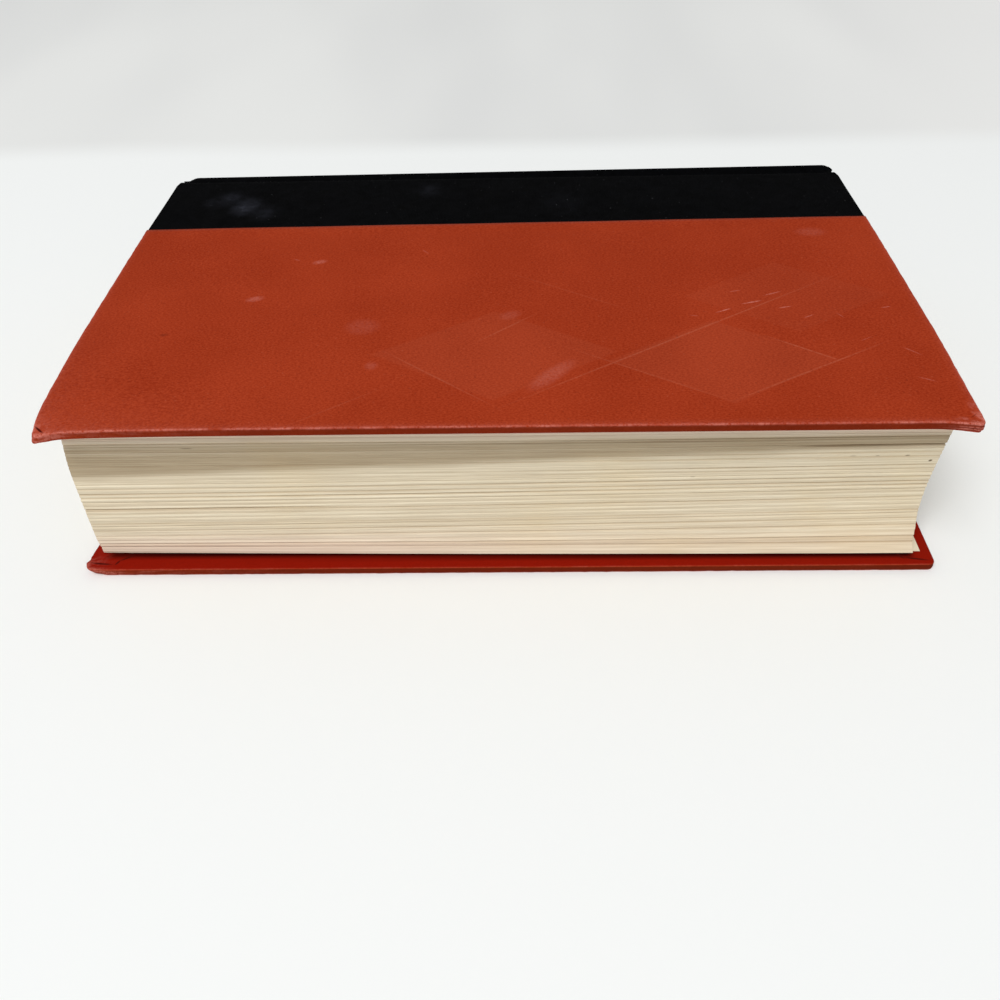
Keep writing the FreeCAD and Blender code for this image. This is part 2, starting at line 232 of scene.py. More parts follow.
def make_piece(name, points, faces, finish, body=None, closed=False, weave=None, **marks):
    """Put points and faces into a mesh object. Marks are one number for each point."""
    if closed and volume(points, faces) < 0:
        faces = faces[:, ::-1]
    mesh = bpy.data.meshes.new(name)
    mesh.vertices.add(len(points))
    mesh.vertices.foreach_set("co", to_frame(points).ravel())
    mesh.loops.add(faces.size)
    mesh.loops.foreach_set("vertex_index", faces.ravel())
    mesh.polygons.add(len(faces))
    mesh.polygons.foreach_set("loop_start", np.arange(0, faces.size, 4))
    mesh.update(calc_edges=True)
    for mark, values in marks.items():
        mesh.attributes.new(mark, "FLOAT", "POINT").data.foreach_set("value", np.ravel(values))
    if weave is not None:
        layer = mesh.uv_layers.new(name="weave")
        layer.data.foreach_set("uv", weave.reshape(-1, 2)[faces.ravel()].ravel())
    work = bmesh.new()
    work.from_mesh(mesh)
    bmesh.ops.remove_doubles(work, verts=work.verts, dist=0.002 * MM)
    work.to_mesh(mesh)
    work.free()
    mesh.shade_smooth()
    mesh.set_sharp_from_angle(angle=SMOOTH_UNDER)
    mesh.materials.append(finish)
    piece = bpy.data.objects.new(name, mesh)
    bpy.context.scene.collection.objects.link(piece)
    if body:
        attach(piece, body)
    print(f"{name}: {len(mesh.vertices)} points, {len(mesh.polygons)} faces")
    return piece


def give_thickness(piece, thickness, rim_finish=None):
    """Thicken a sheet inwards from its outer face."""
    wall = piece.modifiers.new("sheet", "SOLIDIFY")
    wall.thickness = thickness * MM
    wall.offset = -1.0
    if rim_finish:
        piece.data.materials.append(rim_finish)
        wall.material_offset_rim = 1


def waves(points, size, seed, count=14):
    """Smooth random relief, about -1 to 1: sine waves of about one length in random directions."""
    random = np.random.default_rng(seed)
    direction = random.normal(size=(count, 3))
    direction /= np.linalg.norm(direction, axis=1, keepdims=True)
    length = size * random.uniform(0.6, 1.7, count)
    phase = random.uniform(0, 2 * np.pi, count)
    turns = points @ (direction / length[:, None]).T
    return np.sin(2 * np.pi * turns + phase).sum(-1) / math.sqrt(count)


def bell(value, reach):
    """Fall from 1 at the middle, as a bell curve does, to about a third at the reach."""
    return np.exp(-(value / reach) ** 2)


def ease(value, start, end):
    """Rise smoothly from 0 at start to 1 at end."""
    share = np.clip((value - start) / (end - start), 0, 1)
    return share * share * (3 - 2 * share)


# %% [markdown]
# ## Materials
#
# Each finish starts from what the real one is. Colours are the hex values that the eye would
# name, turned to linear light by one function, and every pattern's scale comes from a real size.

# %% Colours and nodes
SMOOTH = {"interpolation_type": "SMOOTHSTEP"}
COLOURS = {"data_type": "RGBA"}


def colour(code):
    """Turn a hex colour such as #9C3A22 into linear red, green, blue and alpha."""
    values = [int(code[place:place + 2], 16) / 255 for place in (1, 3, 5)]
    linear = [v / 12.92 if v <= 0.04045 else ((v + 0.055) / 1.055) ** 2.4 for v in values]
    return (*linear, 1.0)


def per(size):
    """Scale of a pattern whose features are about this many millimetres across."""
    return 1 / (size * MM)


def add(finish, kind, *values, out=None, **settings):
    """Add one node, and return one of its outputs: the named one, or else the first.

    The settings are the node's options. The values fill its inputs in order: a number, a vector,
    a hex colour, a socket that feeds the input, or None to leave it alone."""
    node = finish.node_tree.nodes.new("ShaderNode" + kind)
    for option, setting in settings.items():
        setattr(node, option, setting)
    inputs = [socket for socket in node.inputs if socket.enabled]
    for socket, value in zip(inputs, values):
        if isinstance(value, bpy.types.NodeSocket):
            finish.node_tree.links.new(value, socket)
        elif value is not None:
            socket.default_value = colour(value) if isinstance(value, str) else value
    return node.outputs[out] if out else next(socket for socket in node.outputs if socket.enabled)


def start_finish(name, roughness, **values):
    """A material with its main shader, and the place on the piece, in metres, for its patterns.

    Values are set on the shader's own sockets. The pieces sit at the origin, so nothing slides."""
    finish = bpy.data.materials.new(name)
    finish.use_nodes = True
    shader = finish.node_tree.nodes["Principled BSDF"]
    for key, value in {"Roughness": roughness, **values}.items():
        shader.inputs[key.replace("_", " ")].default_value = value
    return finish, add(finish, "TexCoord", out="Object")


def end_finish(finish, base, relief=None):
    """Feed the base colour and the relief into the main shader."""
    shader = finish.node_tree.nodes["Principled BSDF"]
    finish.node_tree.links.new(base, shader.inputs["Base Color"])
    if relief:
        finish.node_tree.links.new(relief, shader.inputs["Normal"])
    return finish


def patches(finish, place, size, low, high, detail=3.0, roughness=0.55):
    """Irregular patches: 0 where the noise stays under low, 1 where it rises over high."""
    noise = add(finish, "TexNoise", place, per(size), detail, roughness)
    return add(finish, "MapRange", noise, low, high, **SMOOTH)


def overlaid(finish, base, *layers):
    """Lay tints over a colour. The strength of each is the product of the factors after it."""
    for tint, strength, *factors in layers:
        for factor in factors:
            strength = add(finish, "Math", strength, factor, operation="MULTIPLY")
        base = add(finish, "Mix", strength, base, tint, **COLOURS)
    return base


# %% [markdown]
# ### Red side paper
#
# Dyed, uncoated cover paper: long fibres pressed into a matt sheet. The dye sits unevenly in
# clouds of a centimetre or two, handling leaves faint pale marks, and the edges rub to the fibre.
# Each scratch or smudge is one line of a table, so that it can be moved or taken away.

# %% Marks of use
# Each mark: x, distance from the fore-edge, length, width, angle, strength.
RUBS = [
    (64.2, 53.8, 6.5, 0.7, 26, 0.9), (73.2, 58.3, 8.0, 0.8, 16, 0.9), (80.0, 63.1, 7.4, 0.7, 23, 0.8),
    (69.3, 64.8, 4.6, 0.5, 13, 0.6), (82.2, 55.3, 5.0, 0.7, 13, 0.7), (88.0, 50.2, 4.4, 0.6, 29, 0.6),
    (96.9, 50.5, 4.2, 0.5, -59, 0.4), (55.4, 51.2, 3.4, 0.5, -12, 0.4), (111.1, 54.6, 4.0, 0.6, 15, 0.6),
    (111.7, 31.6, 7.2, 0.6, -44, 0.45), (111.5, 18.4, 6.2, 0.6, -27, 0.4), (101.0, 38.0, 5.0, 0.5, 31, 0.3),
    (-58.4, 86.3, 6.0, 3.4, 20, 0.45), (-74.6, 63.8, 7.0, 4.0, 20, 0.42), (13.6, 22.1, 23.0, 7.0, 48, 0.26),
    (-40.2, 47.3, 13.0, 11.0, 0, 0.15), (-35.4, 27.3, 5.0, 5.0, 0, 0.20), (2.3, 52.8, 9.0, 6.0, 30, 0.16),
    (100.0, 101.9, 13.0, 8.0, 0, 0.16), (-66.0, 88.0, 3.0, 1.0, -30, 0.3), (-25.0, 92.0, 5.0, 0.8, -50, 0.25),
]
LINES = [       # long faint lines that something laid on the cover has left
    (50.9, 40.9, 150.0, 0.9, 33, 0.26), (83.0, 23.1, 66.0, 0.9, 30, 0.26),
    (-17.5, 21.7, 52.0, 0.8, -40, 0.20), (1.1, 45.7, 30.0, 0.8, 41, 0.20),
    (38.1, 22.9, 60.0, 0.8, -32, 0.16), (83.0, 33.5, 30.0, 0.8, -36, 0.30),
    (20.0, 66.0, 60.0, 0.7, -33, 0.12), (-44.0, 8.0, 40.0, 0.7, 35, 0.12),
]
DIAMONDS = [    # paler fields between those lines: x, distance, half width, half depth, strength
    (60.0, 28.5, 31.0, 20.0, 0.045), (-2.0, 33.0, 34.0, 22.0, 0.04), (84.0, 62.0, 30.0, 20.0, 0.025),
]
# The folds and dents below are drawn in colour only, as dark lines: painted shade of creases and dents.
FOLDS = [       # creases in the turned-in paper, at the corners
    (-116.4, 2.0, 8.6, 1.0, -5, 1.0), (-111.9, 2.5, 3.0, 0.9, 60, 1.0), (-109.7, 4.3, 5.6, 0.9, 32, 1.0),
    (117.0, 2.0, 9.0, 0.9, -9, 1.0), (112.6, 3.4, 5.0, 0.8, -52, 1.0),
    (-112.0, 8.5, 18.0, 0.35, 45, 0.6), (112.0, 8.5, 18.0, 0.35, -45, 0.6),
]
DENTS = [
    (-117.9, 2.2, 5.6, 0.8, -42, 1.0), (-96.9, 44.3, 3.4, 2.0, 10, 0.35), (118.4, 3.2, 3.6, 0.4, 40, 0.5),
]
# Nicks are drawn dark brown: painted shade in small breaks of the leaves' edges.
NICKS = [       # small breaks in the leaves' edges, with their level in place of the distance
    (108.3, 34.7, 1.9, 0.8, 0, 0.8), (115.0, 32.6, 1.4, 0.9, -15, 1.0), (100.3, 34.8, 1.6, 0.6, 0, 0.5),
    (93.8, 34.9, 2.4, 0.5, 0, 0.4), (-84.0, 40.5, 5.0, 0.6, 0, 0.5), (52.0, 28.0, 2.0, 0.5, 0, 0.3),
]


def marked(finish, place, spots, upright=False):
    """Draw a list of marks: 1 along the middle of each, fading to 0 at its edge, times its strength.

    A mark is a ball of radius 1 after the place is moved to its centre, turned, and divided by
    half its length and half its width. The strongest mark wins where two overlap. Upright marks
    lie on the fore-edge of the leaves, and give their level instead of their distance."""
    total = None
    for x, across, length, width, angle, strength in spots:
        middle, turn = (x * MM, (across + FORE_EDGE) * MM, 0), (0, 0, math.radians(angle))
        half_sizes = (length / 2 * MM, width / 2 * MM, 10)
        if upright:
            middle, turn = (x * MM, 0, across * MM), (0, math.radians(angle), 0)
            half_sizes = (length / 2 * MM, 10, width / 2 * MM)
        inside = add(finish, "Mapping", place, middle, turn, half_sizes, vector_type="TEXTURE")
        ball = add(finish, "TexGradient", inside, gradient_type="SPHERICAL")
        ball = add(finish, "MapRange", ball, 0.0, 0.7, 0.0, strength, **SMOOTH)
        total = add(finish, "Math", total, ball, operation="MAXIMUM") if total else ball
    return total


def diamonds(finish, place, spots):
    """Flat fields with four straight sides, where |across| + |along| stays under 1."""
    total = None
    for x, distance, across, along, strength in spots:
        middle, half_sizes = (x * MM, (distance + FORE_EDGE) * MM, 0), (across * MM, along * MM, 1)
        inside = add(finish, "Mapping", place, middle, None, half_sizes, vector_type="TEXTURE")
        parts = add(finish, "SeparateXYZ", inside).node.outputs
        lengths = [add(finish, "Math", parts[way], operation="ABSOLUTE") for way in "XY"]
        reach = add(finish, "Math", *lengths, operation="ADD")
        field = add(finish, "MapRange", reach, 0.97, 1.03, strength, 0.0, **SMOOTH)
        total = add(finish, "Math", total, field, operation="ADD") if total else field
    return total


# %% Red side paper
def make_side_paper():
    """Matt red paper with clouded dye, dark flecks, rubbed edges and a fibrous surface, and painted shade on
    the turn-in, the edge faces and the creases.
    """
    finish, place = start_finish("dyed_side_paper", 0.75, Specular_IOR_Level=0.04)
    names = ("handled", "inside", "painted_edge_shade", "painted_contact_shade", "wear")
    handled, inside, painted_edge_shade, painted_contact_shade, wear = (
        add(finish, "Attribute", out="Fac", attribute_name=name) for name in names)
    clouds = patches(finish, place, 34.0, 0.30, 0.70, 3.0, 0.5)
    dye = add(finish, "Mix", clouds, "#982D0E", "#A33516", **COLOURS)
    drawn_out = add(finish, "Mapping", place, None, None, (0.55, 1.0, 1.0))
    mottle = patches(finish, drawn_out, 0.40, 0.36, 0.64, 3.0, 0.7)
    dark = add(finish, "Mix", 0.30, dye, "#701906", **COLOURS)
    light = add(finish, "Mix", 0.19, dye, "#C85B38", **COLOURS)
    base = add(finish, "Mix", mottle, dark, light, **COLOURS)
    speck = patches(finish, place, 0.5, 0.68, 0.75, 1.0)
    slanted = add(finish, "Mapping", place, None, (0.0, 0.0, 0.6), (0.5, 1.0, 1.0))
    pale = patches(finish, slanted, 0.6, 0.66, 0.76, 2.0)
    grit = patches(finish, place, 0.8, 0.30, 0.60, 4.0, 0.75)
    rubs = add(finish, "Math", marked(finish, place, RUBS), handled, operation="MULTIPLY")
    worn = add(finish, "Math", wear, rubs, operation="MAXIMUM")
    dents = add(finish, "Math", marked(finish, place, DENTS), handled, operation="MULTIPLY")
    folds = add(finish, "Math", marked(finish, place, FOLDS), inside, operation="MULTIPLY")
    painted_crease_shade = add(finish, "Math", dents, folds, operation="MAXIMUM")
    base = overlaid(finish, base, ("#5E1A0C", speck, 0.45), ("#C77257", pale, 0.22),
                    ("#CF7A5C", diamonds(finish, place, DIAMONDS), handled),
                    ("#C8755A", marked(finish, place, LINES), handled, grit),
                    # Painted shade and painted red reflection: the turn-in, the same paper as the face, is
                    # drawn a deeper and more saturated red.
                    # Painted shade: near black where the turn-in lies close under the leaves, and a little on
                    # the back cover's edge face.
                    # Painted shade: the boards' edge faces drawn a darker brown-red.
                    ("#851002", inside), ("#641B05", painted_edge_shade), ("#260100", painted_contact_shade),
                    # Painted shade in the folds and dents.
                    ("#C87567", worn, grit), ("#480C06", painted_crease_shade))
    fibre = add(finish, "TexNoise", place, per(0.4), 3.0, 0.7)
    relief = add(finish, "Bump", 1.0, 0.03 * MM, None, fibre)
    swell = add(finish, "TexNoise", place, per(7.0), 2.0, 0.55)
    return end_finish(finish, base, add(finish, "Bump", 1.0, 0.08 * MM, None, swell, relief))


def make_paper_core():
    """The pale core of the side paper, bare at its cut edge."""
    finish, place = start_finish("paper_cut_edge", 0.85, Specular_IOR_Level=0.1)
    fibre = add(finish, "TexNoise", place, per(0.8), 3.0, 0.55)
    return end_finish(finish, add(finish, "Mix", fibre, "#A4553D", "#D8B39F", **COLOURS))


# %% [markdown]
# ### Black book cloth
#
# Cotton woven at about two threads a millimetre, then filled with black starch. The filling
# leaves only a low relief of the weave, and dust stays in it as grey smudges.

# %% Black book cloth
THREAD = 0.52       # one thread of the weave with the gap beside it, in mm


def make_book_cloth():
    """Plain weave on the piece's own map in millimetres, with dust where the mark says."""
    finish, place = start_finish("starched_book_cloth", 0.62, Specular_IOR_Level=0.008)
    on_cloth = add(finish, "UVMap", uv_map="weave")
    warp, weft = (add(finish, "TexWave", on_cloth, 0.314 / THREAD, 0.6, 1.0, 0.4, bands_direction=way)
                  for way in "XY")
    weave = add(finish, "Math", warp, weft, operation="MULTIPLY")
    cloud = patches(finish, place, 9.0, 0.3, 0.7, 4.0, 0.6)
    base = add(finish, "Mix", cloud, "#010101", "#030303", **COLOURS)
    film = add(finish, "TexNoise", place, per(3.0), 2.0, 0.5)
    film = add(finish, "MapRange", film, 0.30, 0.70, 0.45, 1.0, **SMOOTH)
    dust = add(finish, "Attribute", out="Fac", attribute_name="dust")
    speck = patches(finish, place, 0.8, 0.76, 0.82, 1.0)
    base = overlaid(finish, base, ("#060707", weave, 0.25), ("#454752", dust, film), ("#6C6D70", speck, 0.3))
    relief = add(finish, "Bump", 1.0, 0.05 * MM, None, weave)
    slub = add(finish, "TexNoise", place, per(3.0), 3.0, 0.55)
    return end_finish(finish, base, add(finish, "Bump", 1.0, 0.03 * MM, None, slub, relief))


# %% [markdown]
# ### Leaves and papers
#
# Trimmed book paper that has yellowed. The knife leaves each leaf's edge a little different, so the tone runs
# in fine lines along the leaves. A darker band under the front cover is in part soiling and in part painted
# shadow of the cover's overhang, and the rows right under the cover are painted lighter. The red of the back
# cover shines up on the lowest leaves as a painted red reflection. The other sheets are plainer.

# %% Leaves and papers
def make_leaf_edges():
    """Cream edges: the mesh carries each leaf's tone, and finer lines run along the leaves."""
    finish, place = start_finish("trimmed_leaf_edges", 0.85, Specular_IOR_Level=0.08)
    tone, painted_red_reflection, soil_and_overhang_shade = (add(finish, "Attribute", out="Fac", attribute_name=name)
                         for name in ("tone", "painted_red_reflection", "soil_and_overhang_shade"))
    along_leaves = add(finish, "Mapping", place, None, None, (0.012, 0.012, 1.0))
    lines = add(finish, "TexNoise", along_leaves, per(0.25), 2.0, 0.6)
    base = add(finish, "Mix", tone, "#AD926F", "#ECE1C8", **COLOURS)
    dark = add(finish, "Mix", 0.26, base, "#97805C", **COLOURS)
    base = add(finish, "Mix", add(finish, "MapRange", lines, 0.35, 0.65, **SMOOTH), dark, base, **COLOURS)
    yellowed = patches(finish, place, 38.0, 0.42, 0.75)
    # Painted red reflection from the covers.
    base = overlaid(finish, base, ("#E0C99B", yellowed, 0.22), ("#E4C8BA", painted_red_reflection))
    # In part soiling, in part painted shadow of the front cover's overhang.
    soil_and_overhang_shade = add(finish, "Math", soil_and_overhang_shade, 0.8, operation="MULTIPLY")
    base = add(finish, "Mix", soil_and_overhang_shade, base, "#BFB5A8", blend_type="MULTIPLY", **COLOURS)
    # Painted shade in the nicks.
    base = overlaid(finish, base, ("#6B5B45", marked(finish, place, NICKS, upright=True)))
    return end_finish(finish, base, add(finish, "Bump", 1.0, 0.04 * MM, None, lines))


def make_plain_paper(name, low, high, grain=0.4):
    """Uncoated paper or board: two close tones and a fine felt surface."""
    finish, place = start_finish(name, 0.85, Specular_IOR_Level=0.1)
    base = add(finish, "Mix", patches(finish, place, 30.0, 0.25, 0.75, 4.0, 0.6), low, high, **COLOURS)
    felt = add(finish, "TexNoise", place, per(grain), 3.0, 0.7)
    return end_finish(finish, base, add(finish, "Bump", 1.0, 0.03 * MM, None, felt))


def make_mull():
    """Open-weave gauze, stiff with size: square cells of about one millimetre."""
    finish, place = start_finish("starched_mull", 0.9)
    across, along = (add(finish, "TexWave", place, per(3.2), bands_direction=way) for way in "XZ")
    threads = add(finish, "Math", across, along, operation="MAXIMUM")
    shown = add(finish, "MapRange", threads, 0.4, 0.9, **SMOOTH)
    base = add(finish, "Mix", shown, "#8C7654", "#E4DCC6", **COLOURS)
    return end_finish(finish, base, add(finish, "Bump", 1.0, 0.15 * MM, None, threads))


def make_headband():
    """Silk-like thread wound in red and cream stripes, which the mesh marks."""
    finish, _ = start_finish("wound_headband", 0.5, Sheen_Weight=0.3)
    stripe = add(finish, "Attribute", out="Fac", attribute_name="stripe")
    return end_finish(finish, add(finish, "Mix", stripe, "#E6DDC6", "#8C1F16", **COLOURS))


side_paper = make_side_paper()
paper_core = make_paper_core()
book_cloth = make_book_cloth()
leaf_edges = make_leaf_edges()
greyboard = make_plain_paper("pressed_greyboard", "#857A6B", "#A39785", 0.6)
endpaper = make_plain_paper("aged_endpaper", "#E2D6BC", "#E9DFC9")
lining_paper = make_plain_paper("brown_lining_paper", "#8A6642", "#A07C55")
spine_card = make_plain_paper("manila_card", "#B49466", "#C6A87C")
mull_cloth = make_mull()
headband_thread = make_headband()

# %% [markdown]
# ## The two covers
#
# Side paper is pasted on the outside of a board and folded over three of its edges. Seen in a
# plan it follows a path round tail, fore-edge and head, and at each point of that path its
# section is the same: flat face, rounded arris, edge, second arris and turn-in. The flat face in
# the middle is a plain grid that shares its outer points with the wrapped band.

# %% Wear and bending shared by all layers of a cover
RIM = 6.0            # the wrapped band reaches this far in from the edges
ARRIS = 0.5          # radius of the board's rounded edges, over the paper
CORNERS = {          # radius to which each corner is rubbed: tail, then head, at the fore-edge
    "back": (2.6, 2.0),
    "front": (2.4, 1.4),
}


def droop(x, distance):
    """How far the front cover's two fore-edge corners hang: falling exponentials from each corner."""
    tail = np.hypot(x + HALF_HEIGHT, distance)
    head = np.hypot(x - HALF_HEIGHT, distance)
    return 1.1 * np.exp(-tail / 14) + 1.0 * bell(tail, 5) + 1.1 * np.clip(1 - head / 14, 0, 1) ** 2


def bend(points, side):
    """Where a cover has given way: corners hang or are crushed, and the ends have swelled.

    The front cover is widest halfway to the hinge. The back cover has crept towards the head,
    most at its fore-edge."""
    moved = points.copy()
    x, distance = points[..., 0], points[..., 1]
    tail = np.hypot(x + HALF_HEIGHT, distance)
    to_head = (x / HALF_HEIGHT + 1) / 2
    if side == "front":
        moved[..., 2] += droop(x, distance)
        moved[..., 0] += x / HALF_HEIGHT * 0.75 * ease(distance, 4, 45) * (1 - ease(distance, 95, 150))
        moved[..., 0] += 0.8 * bell(tail, 7) * (1 - 0.9 * points[..., 2] / COVER_DEPTH)
    else:
        moved[..., 0] += 1.5 * to_head * (1 - ease(distance, 15, 120))
        moved[..., 0] += 0.7 * (1 - to_head) * ease(distance, 3, 12) * (1 - ease(distance, 60, 120))
        moved[..., 0] += (1.2 - 1.7 * points[..., 2] / COVER_DEPTH) * bell(tail, 7)
        moved[..., 1] -= 0.35 * (1 - ease(distance, 0, 60)) * (1 - 0.6 * to_head)
        moved[..., 2] += 0.4 * np.clip(1 - tail / 9.0, 0, 1) ** 2
    return moved


def on_side(points, side):
    """Turn depths below a cover's outer face into levels above the table."""
    placed = points.copy()
    if side == "front":
        placed[..., 2] = THICKNESS - points[..., 2]
    return placed


def turned(directions, side):
    """Turn directions as on_side turns points."""
    placed = directions.copy()
    if side == "front":
        placed[..., 2] = -directions[..., 2]
    return placed


def first_edge(x):
    """How far the first leaf ends behind the board's fore-edge: the block was cut a little askew.

    A parabola: 3.8 mm at the head, 4.5 in the middle and 6.1 at the tail."""
    to_tail = (1 - x / LEAF_HALF) / 2
    return 3.8 + 0.5 * to_tail + 1.8 * to_tail ** 2


# %% Side papers
def edge_path(tail_radius, head_radius, across, along):
    """Walk from the tail's cut end round the fore-edge to the head's cut end.

    Each corner is a quarter circle. The straight stretches repeat the face grid's own lines,
    so the band and the face share their points. Returns places and outward directions."""
    quarter = np.linspace(0, np.pi / 2, 9)
    tail_gap = np.linspace(RIM, tail_radius, 5)[1:-1]
    head_gap = np.linspace(RIM, head_radius, 5)[1:-1]
    edge = HALF_HEIGHT
    runs = [
        points_at(-edge, along[::-1]), points_at(-edge, tail_gap),
        points_at(-edge + tail_radius * (1 - np.cos(quarter)), tail_radius * (1 - np.sin(quarter))),
        points_at(-edge + tail_gap[::-1], 0.0), points_at(across, 0.0), points_at(edge - head_gap, 0.0),
        points_at(edge - head_radius * (1 - np.sin(quarter)), head_radius * (1 - np.cos(quarter))),
        points_at(edge, head_gap[::-1]), points_at(edge, along),
    ]
    ways = [
        np.tile((-1.0, 0.0), (len(along) + len(tail_gap), 1)), points_at(-np.cos(quarter), -np.sin(quarter)),
        np.tile((0.0, -1.0), (len(tail_gap) + len(across) + len(head_gap), 1)),
        points_at(np.sin(quarter), -np.cos(quarter)), np.tile((1.0, 0.0), (len(head_gap) + len(along), 1)),
    ]
    return np.concatenate(runs), np.concatenate(ways)


def wrapped_band(path, ways):
    """Carry the wrap's section along the path: face, arris, edge, arris, turn-in."""
    shoulder = path - ways * ARRIS
    face_line, window = (points_at(np.clip(path[:, 0], width - HALF_HEIGHT, HALF_HEIGHT - width),
                                   np.maximum(path[:, 1], width)) for width in (RIM, TURN_IN))
    rows = []
    for share in (0.0, 0.35, 0.6, 0.78, 0.9):
        rows.append((face_line + (shoulder - face_line) * share, 0.0, 0.0, -1.0))
    for angle in np.linspace(0, np.pi / 2, 6):
        rows.append((shoulder + ways * ARRIS * np.sin(angle), ARRIS * (1 - np.cos(angle)),
                     np.sin(angle), -np.cos(angle)))
    for depth in np.linspace(ARRIS, COVER_DEPTH - ARRIS, 6)[1:-1]:
        rows.append((path, depth, 1.0, 0.0))
    for angle in np.linspace(np.pi / 2, np.pi, 6):
        rows.append((shoulder + ways * ARRIS * np.sin(angle), COVER_DEPTH - ARRIS * (1 + np.cos(angle)),
                     np.sin(angle), -np.cos(angle)))
    for share in (0.05, 0.12, 0.22, 0.35, 0.5, 0.75, 1.0):
        rows.append((shoulder + (window - shoulder) * share, COVER_DEPTH, 0.0, 1.0))
    points = np.stack([points_at(*flat.T, depth) for flat, depth, _, _ in rows])
    outward = np.stack([points_at(*(ways * out).T, down) for _, _, out, down in rows])
    return points, outward


def turn_in_marks(points, inwards, on_edge, side):
    """Where the paper is turned in, and painted shade where it lies close under the leaves and along the back
    cover's edge face.
    """
    inside = ease(points[..., 2], COVER_DEPTH - 0.35, COVER_DEPTH - 0.05) * (inwards > 0.2)
    painted_contact_shade = inside * ease(points[..., 1] - first_edge(points[..., 0]), -2.0, 0.1)
    painted_contact_shade = painted_contact_shade * (1 - ease(np.abs(points[..., 0]), LEAF_HALF - 4.0, LEAF_HALF - 1.2))
    painted_contact_shade += 0.20 * on_edge * (side == "back")
    return inside, painted_contact_shade


def paper_wear(points, outward, side):
    """Rub and dent the paper. Returns the moved points and five marks for the finish; three carry painted
    shade: on the edge faces, close under the leaves, and the deeper red of the turn-in.

    Wear falls off with the square of the distance from the two arrises and the corners. The
    relief adds fine roughness on the arris, slow swells on the face, and a step over the cloth."""
    half, depth = np.abs(points[..., 0]), points[..., 2]
    inwards = np.minimum(points[..., 1], HALF_HEIGHT - half)
    outer = np.hypot(inwards, depth)
    inner = np.hypot(inwards, COVER_DEPTH - depth)
    corner = np.hypot(HALF_HEIGHT - half, points[..., 1])
    tail_corner = np.hypot(HALF_HEIGHT + points[..., 0], points[..., 1])
    handling = 0.75 + 0.5 * np.exp(-tail_corner / 45)
    patchy = handling * (0.65 + 0.35 * waves(points, 7.0, 3))
    wear = 1.35 * patchy * bell(outer, 0.34) + 0.6 * patchy * bell(inner, 0.20)
    wear += 0.12 * bell(outer, 1.4) * (depth < 0.1)
    wear += 0.40 * bell(corner, 1.6) * (depth < 0.4)
    wear += 0.16 * np.exp(-tail_corner / 30) * np.exp(-inwards / 10) * (depth < 0.1)
    wear += 0.55 * bell(tail_corner, 4.5) * np.clip(0.5 + waves(points, 1.6, 14), 0, 1)
    on_edge = (inwards < 0.6) * ease(depth, 0.12, 0.5)
    on_edge = on_edge * (1 - ease(depth, COVER_DEPTH - 0.45, COVER_DEPTH - 0.15))
    streaks = np.clip(0.3 + waves(points * (0.25, 1, 3), 2.0, 8), 0, 1)
    wear += 0.7 * on_edge * streaks * np.exp(-tail_corner / 18)
    wear += 0.2 * bell(points[..., 1] - PAPER_END, 0.7) * (depth < 0.4)
    # Painted shade on the upright edge faces of the boards, a little less near the tail corner.
    painted_edge_shade = on_edge * (0.95 + 0.05 * waves(points, 5.0, 9)) * (1 - 0.5 * np.exp(-tail_corner / 25))
    rough = 0.04 * waves(points, 1.2, 4) * bell(outer, 1.2)
    rough += 0.03 * on_edge * waves(points, 1.0, 10) + 0.05 * waves(points, 45.0, 5) * (depth < 0.1)
    head_corner = np.hypot(HALF_HEIGHT - points[..., 0], points[..., 1])
    if side == "front":
        layers = np.sin(depth / COVER_DEPTH * 20)
        fray = bell(head_corner, 6.5) * (inwards < 1.0)
        rough += 0.20 * fray * layers + 0.16 * fray
        wear += 1.8 * fray * np.clip(layers, 0, 1)
        threads = np.clip(waves(points * (0.3, 1.6, 1.0), 1.3, 15), 0, 1)
        wear += 0.7 * bell(head_corner, 8) * threads * (inwards < 2.5) * (depth < 0.4)
        rough += (0.15 * waves(points, 2.5, 11) + 0.12) * bell(tail_corner, 5.0)
    else:
        rough += 0.22 * waves(points, 3.0, 6) * bell(tail_corner, 6.0)
    lap = 0.10 * ease(points[..., 1], CLOTH_START - 0.8, CLOTH_START + 0.4) * (depth < 0.1)
    inside, painted_contact_shade = turn_in_marks(points, inwards, on_edge, side)
    handled = (depth < 0.4) * (1.0 if side == "front" else 0.25)
    moved = points + outward * (rough + lap)[..., None]
    moved[..., 1] += (0.0105 * points[..., 0] - 0.8) * ease(points[..., 1], 85.0, PAPER_END)
    marks = {"wear": np.clip(wear, 0, 1), "painted_edge_shade": 0.85 * np.clip(painted_edge_shade, 0, 1), "inside": 0.96 * inside,
             "handled": handled, "painted_contact_shade": 0.95 * painted_contact_shade}
    return moved, marks


def make_cover_paper(side):
    """The red paper of one cover: the face grid and the wrapped band, merged into one sheet."""
    across = np.linspace(RIM - HALF_HEIGHT, HALF_HEIGHT - RIM, 150)
    along = np.linspace(RIM, PAPER_END, 70)
    path, ways = edge_path(*CORNERS[side], across, along)
    band, band_out = wrapped_band(path, ways)
    face = points_at(*np.meshgrid(across, along), 0.0)
    face_out = np.broadcast_to((0.0, 0.0, -1.0), face.shape)
    parts, marks = [], []
    for grid, out in ((band, band_out), (face, face_out)):
        moved, seen = paper_wear(grid, out, side)
        points = on_side(bend(moved, side), side).reshape(-1, 3)
        faces = turned_out(points, grid_faces(*grid.shape[:2]), turned(out, side).reshape(-1, 3))
        parts.append((points, faces))
        marks.append(seen)
    points, faces = stack(*parts)
    joined = {name: np.concatenate([part[name].ravel() for part in marks]) for name in marks[0]}
    piece = make_piece(side + "_side_paper", points, faces, side_paper, side + "_cover", **joined)
    give_thickness(piece, PAPER * 0.9, paper_core)
    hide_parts(side + "_cover_paper")


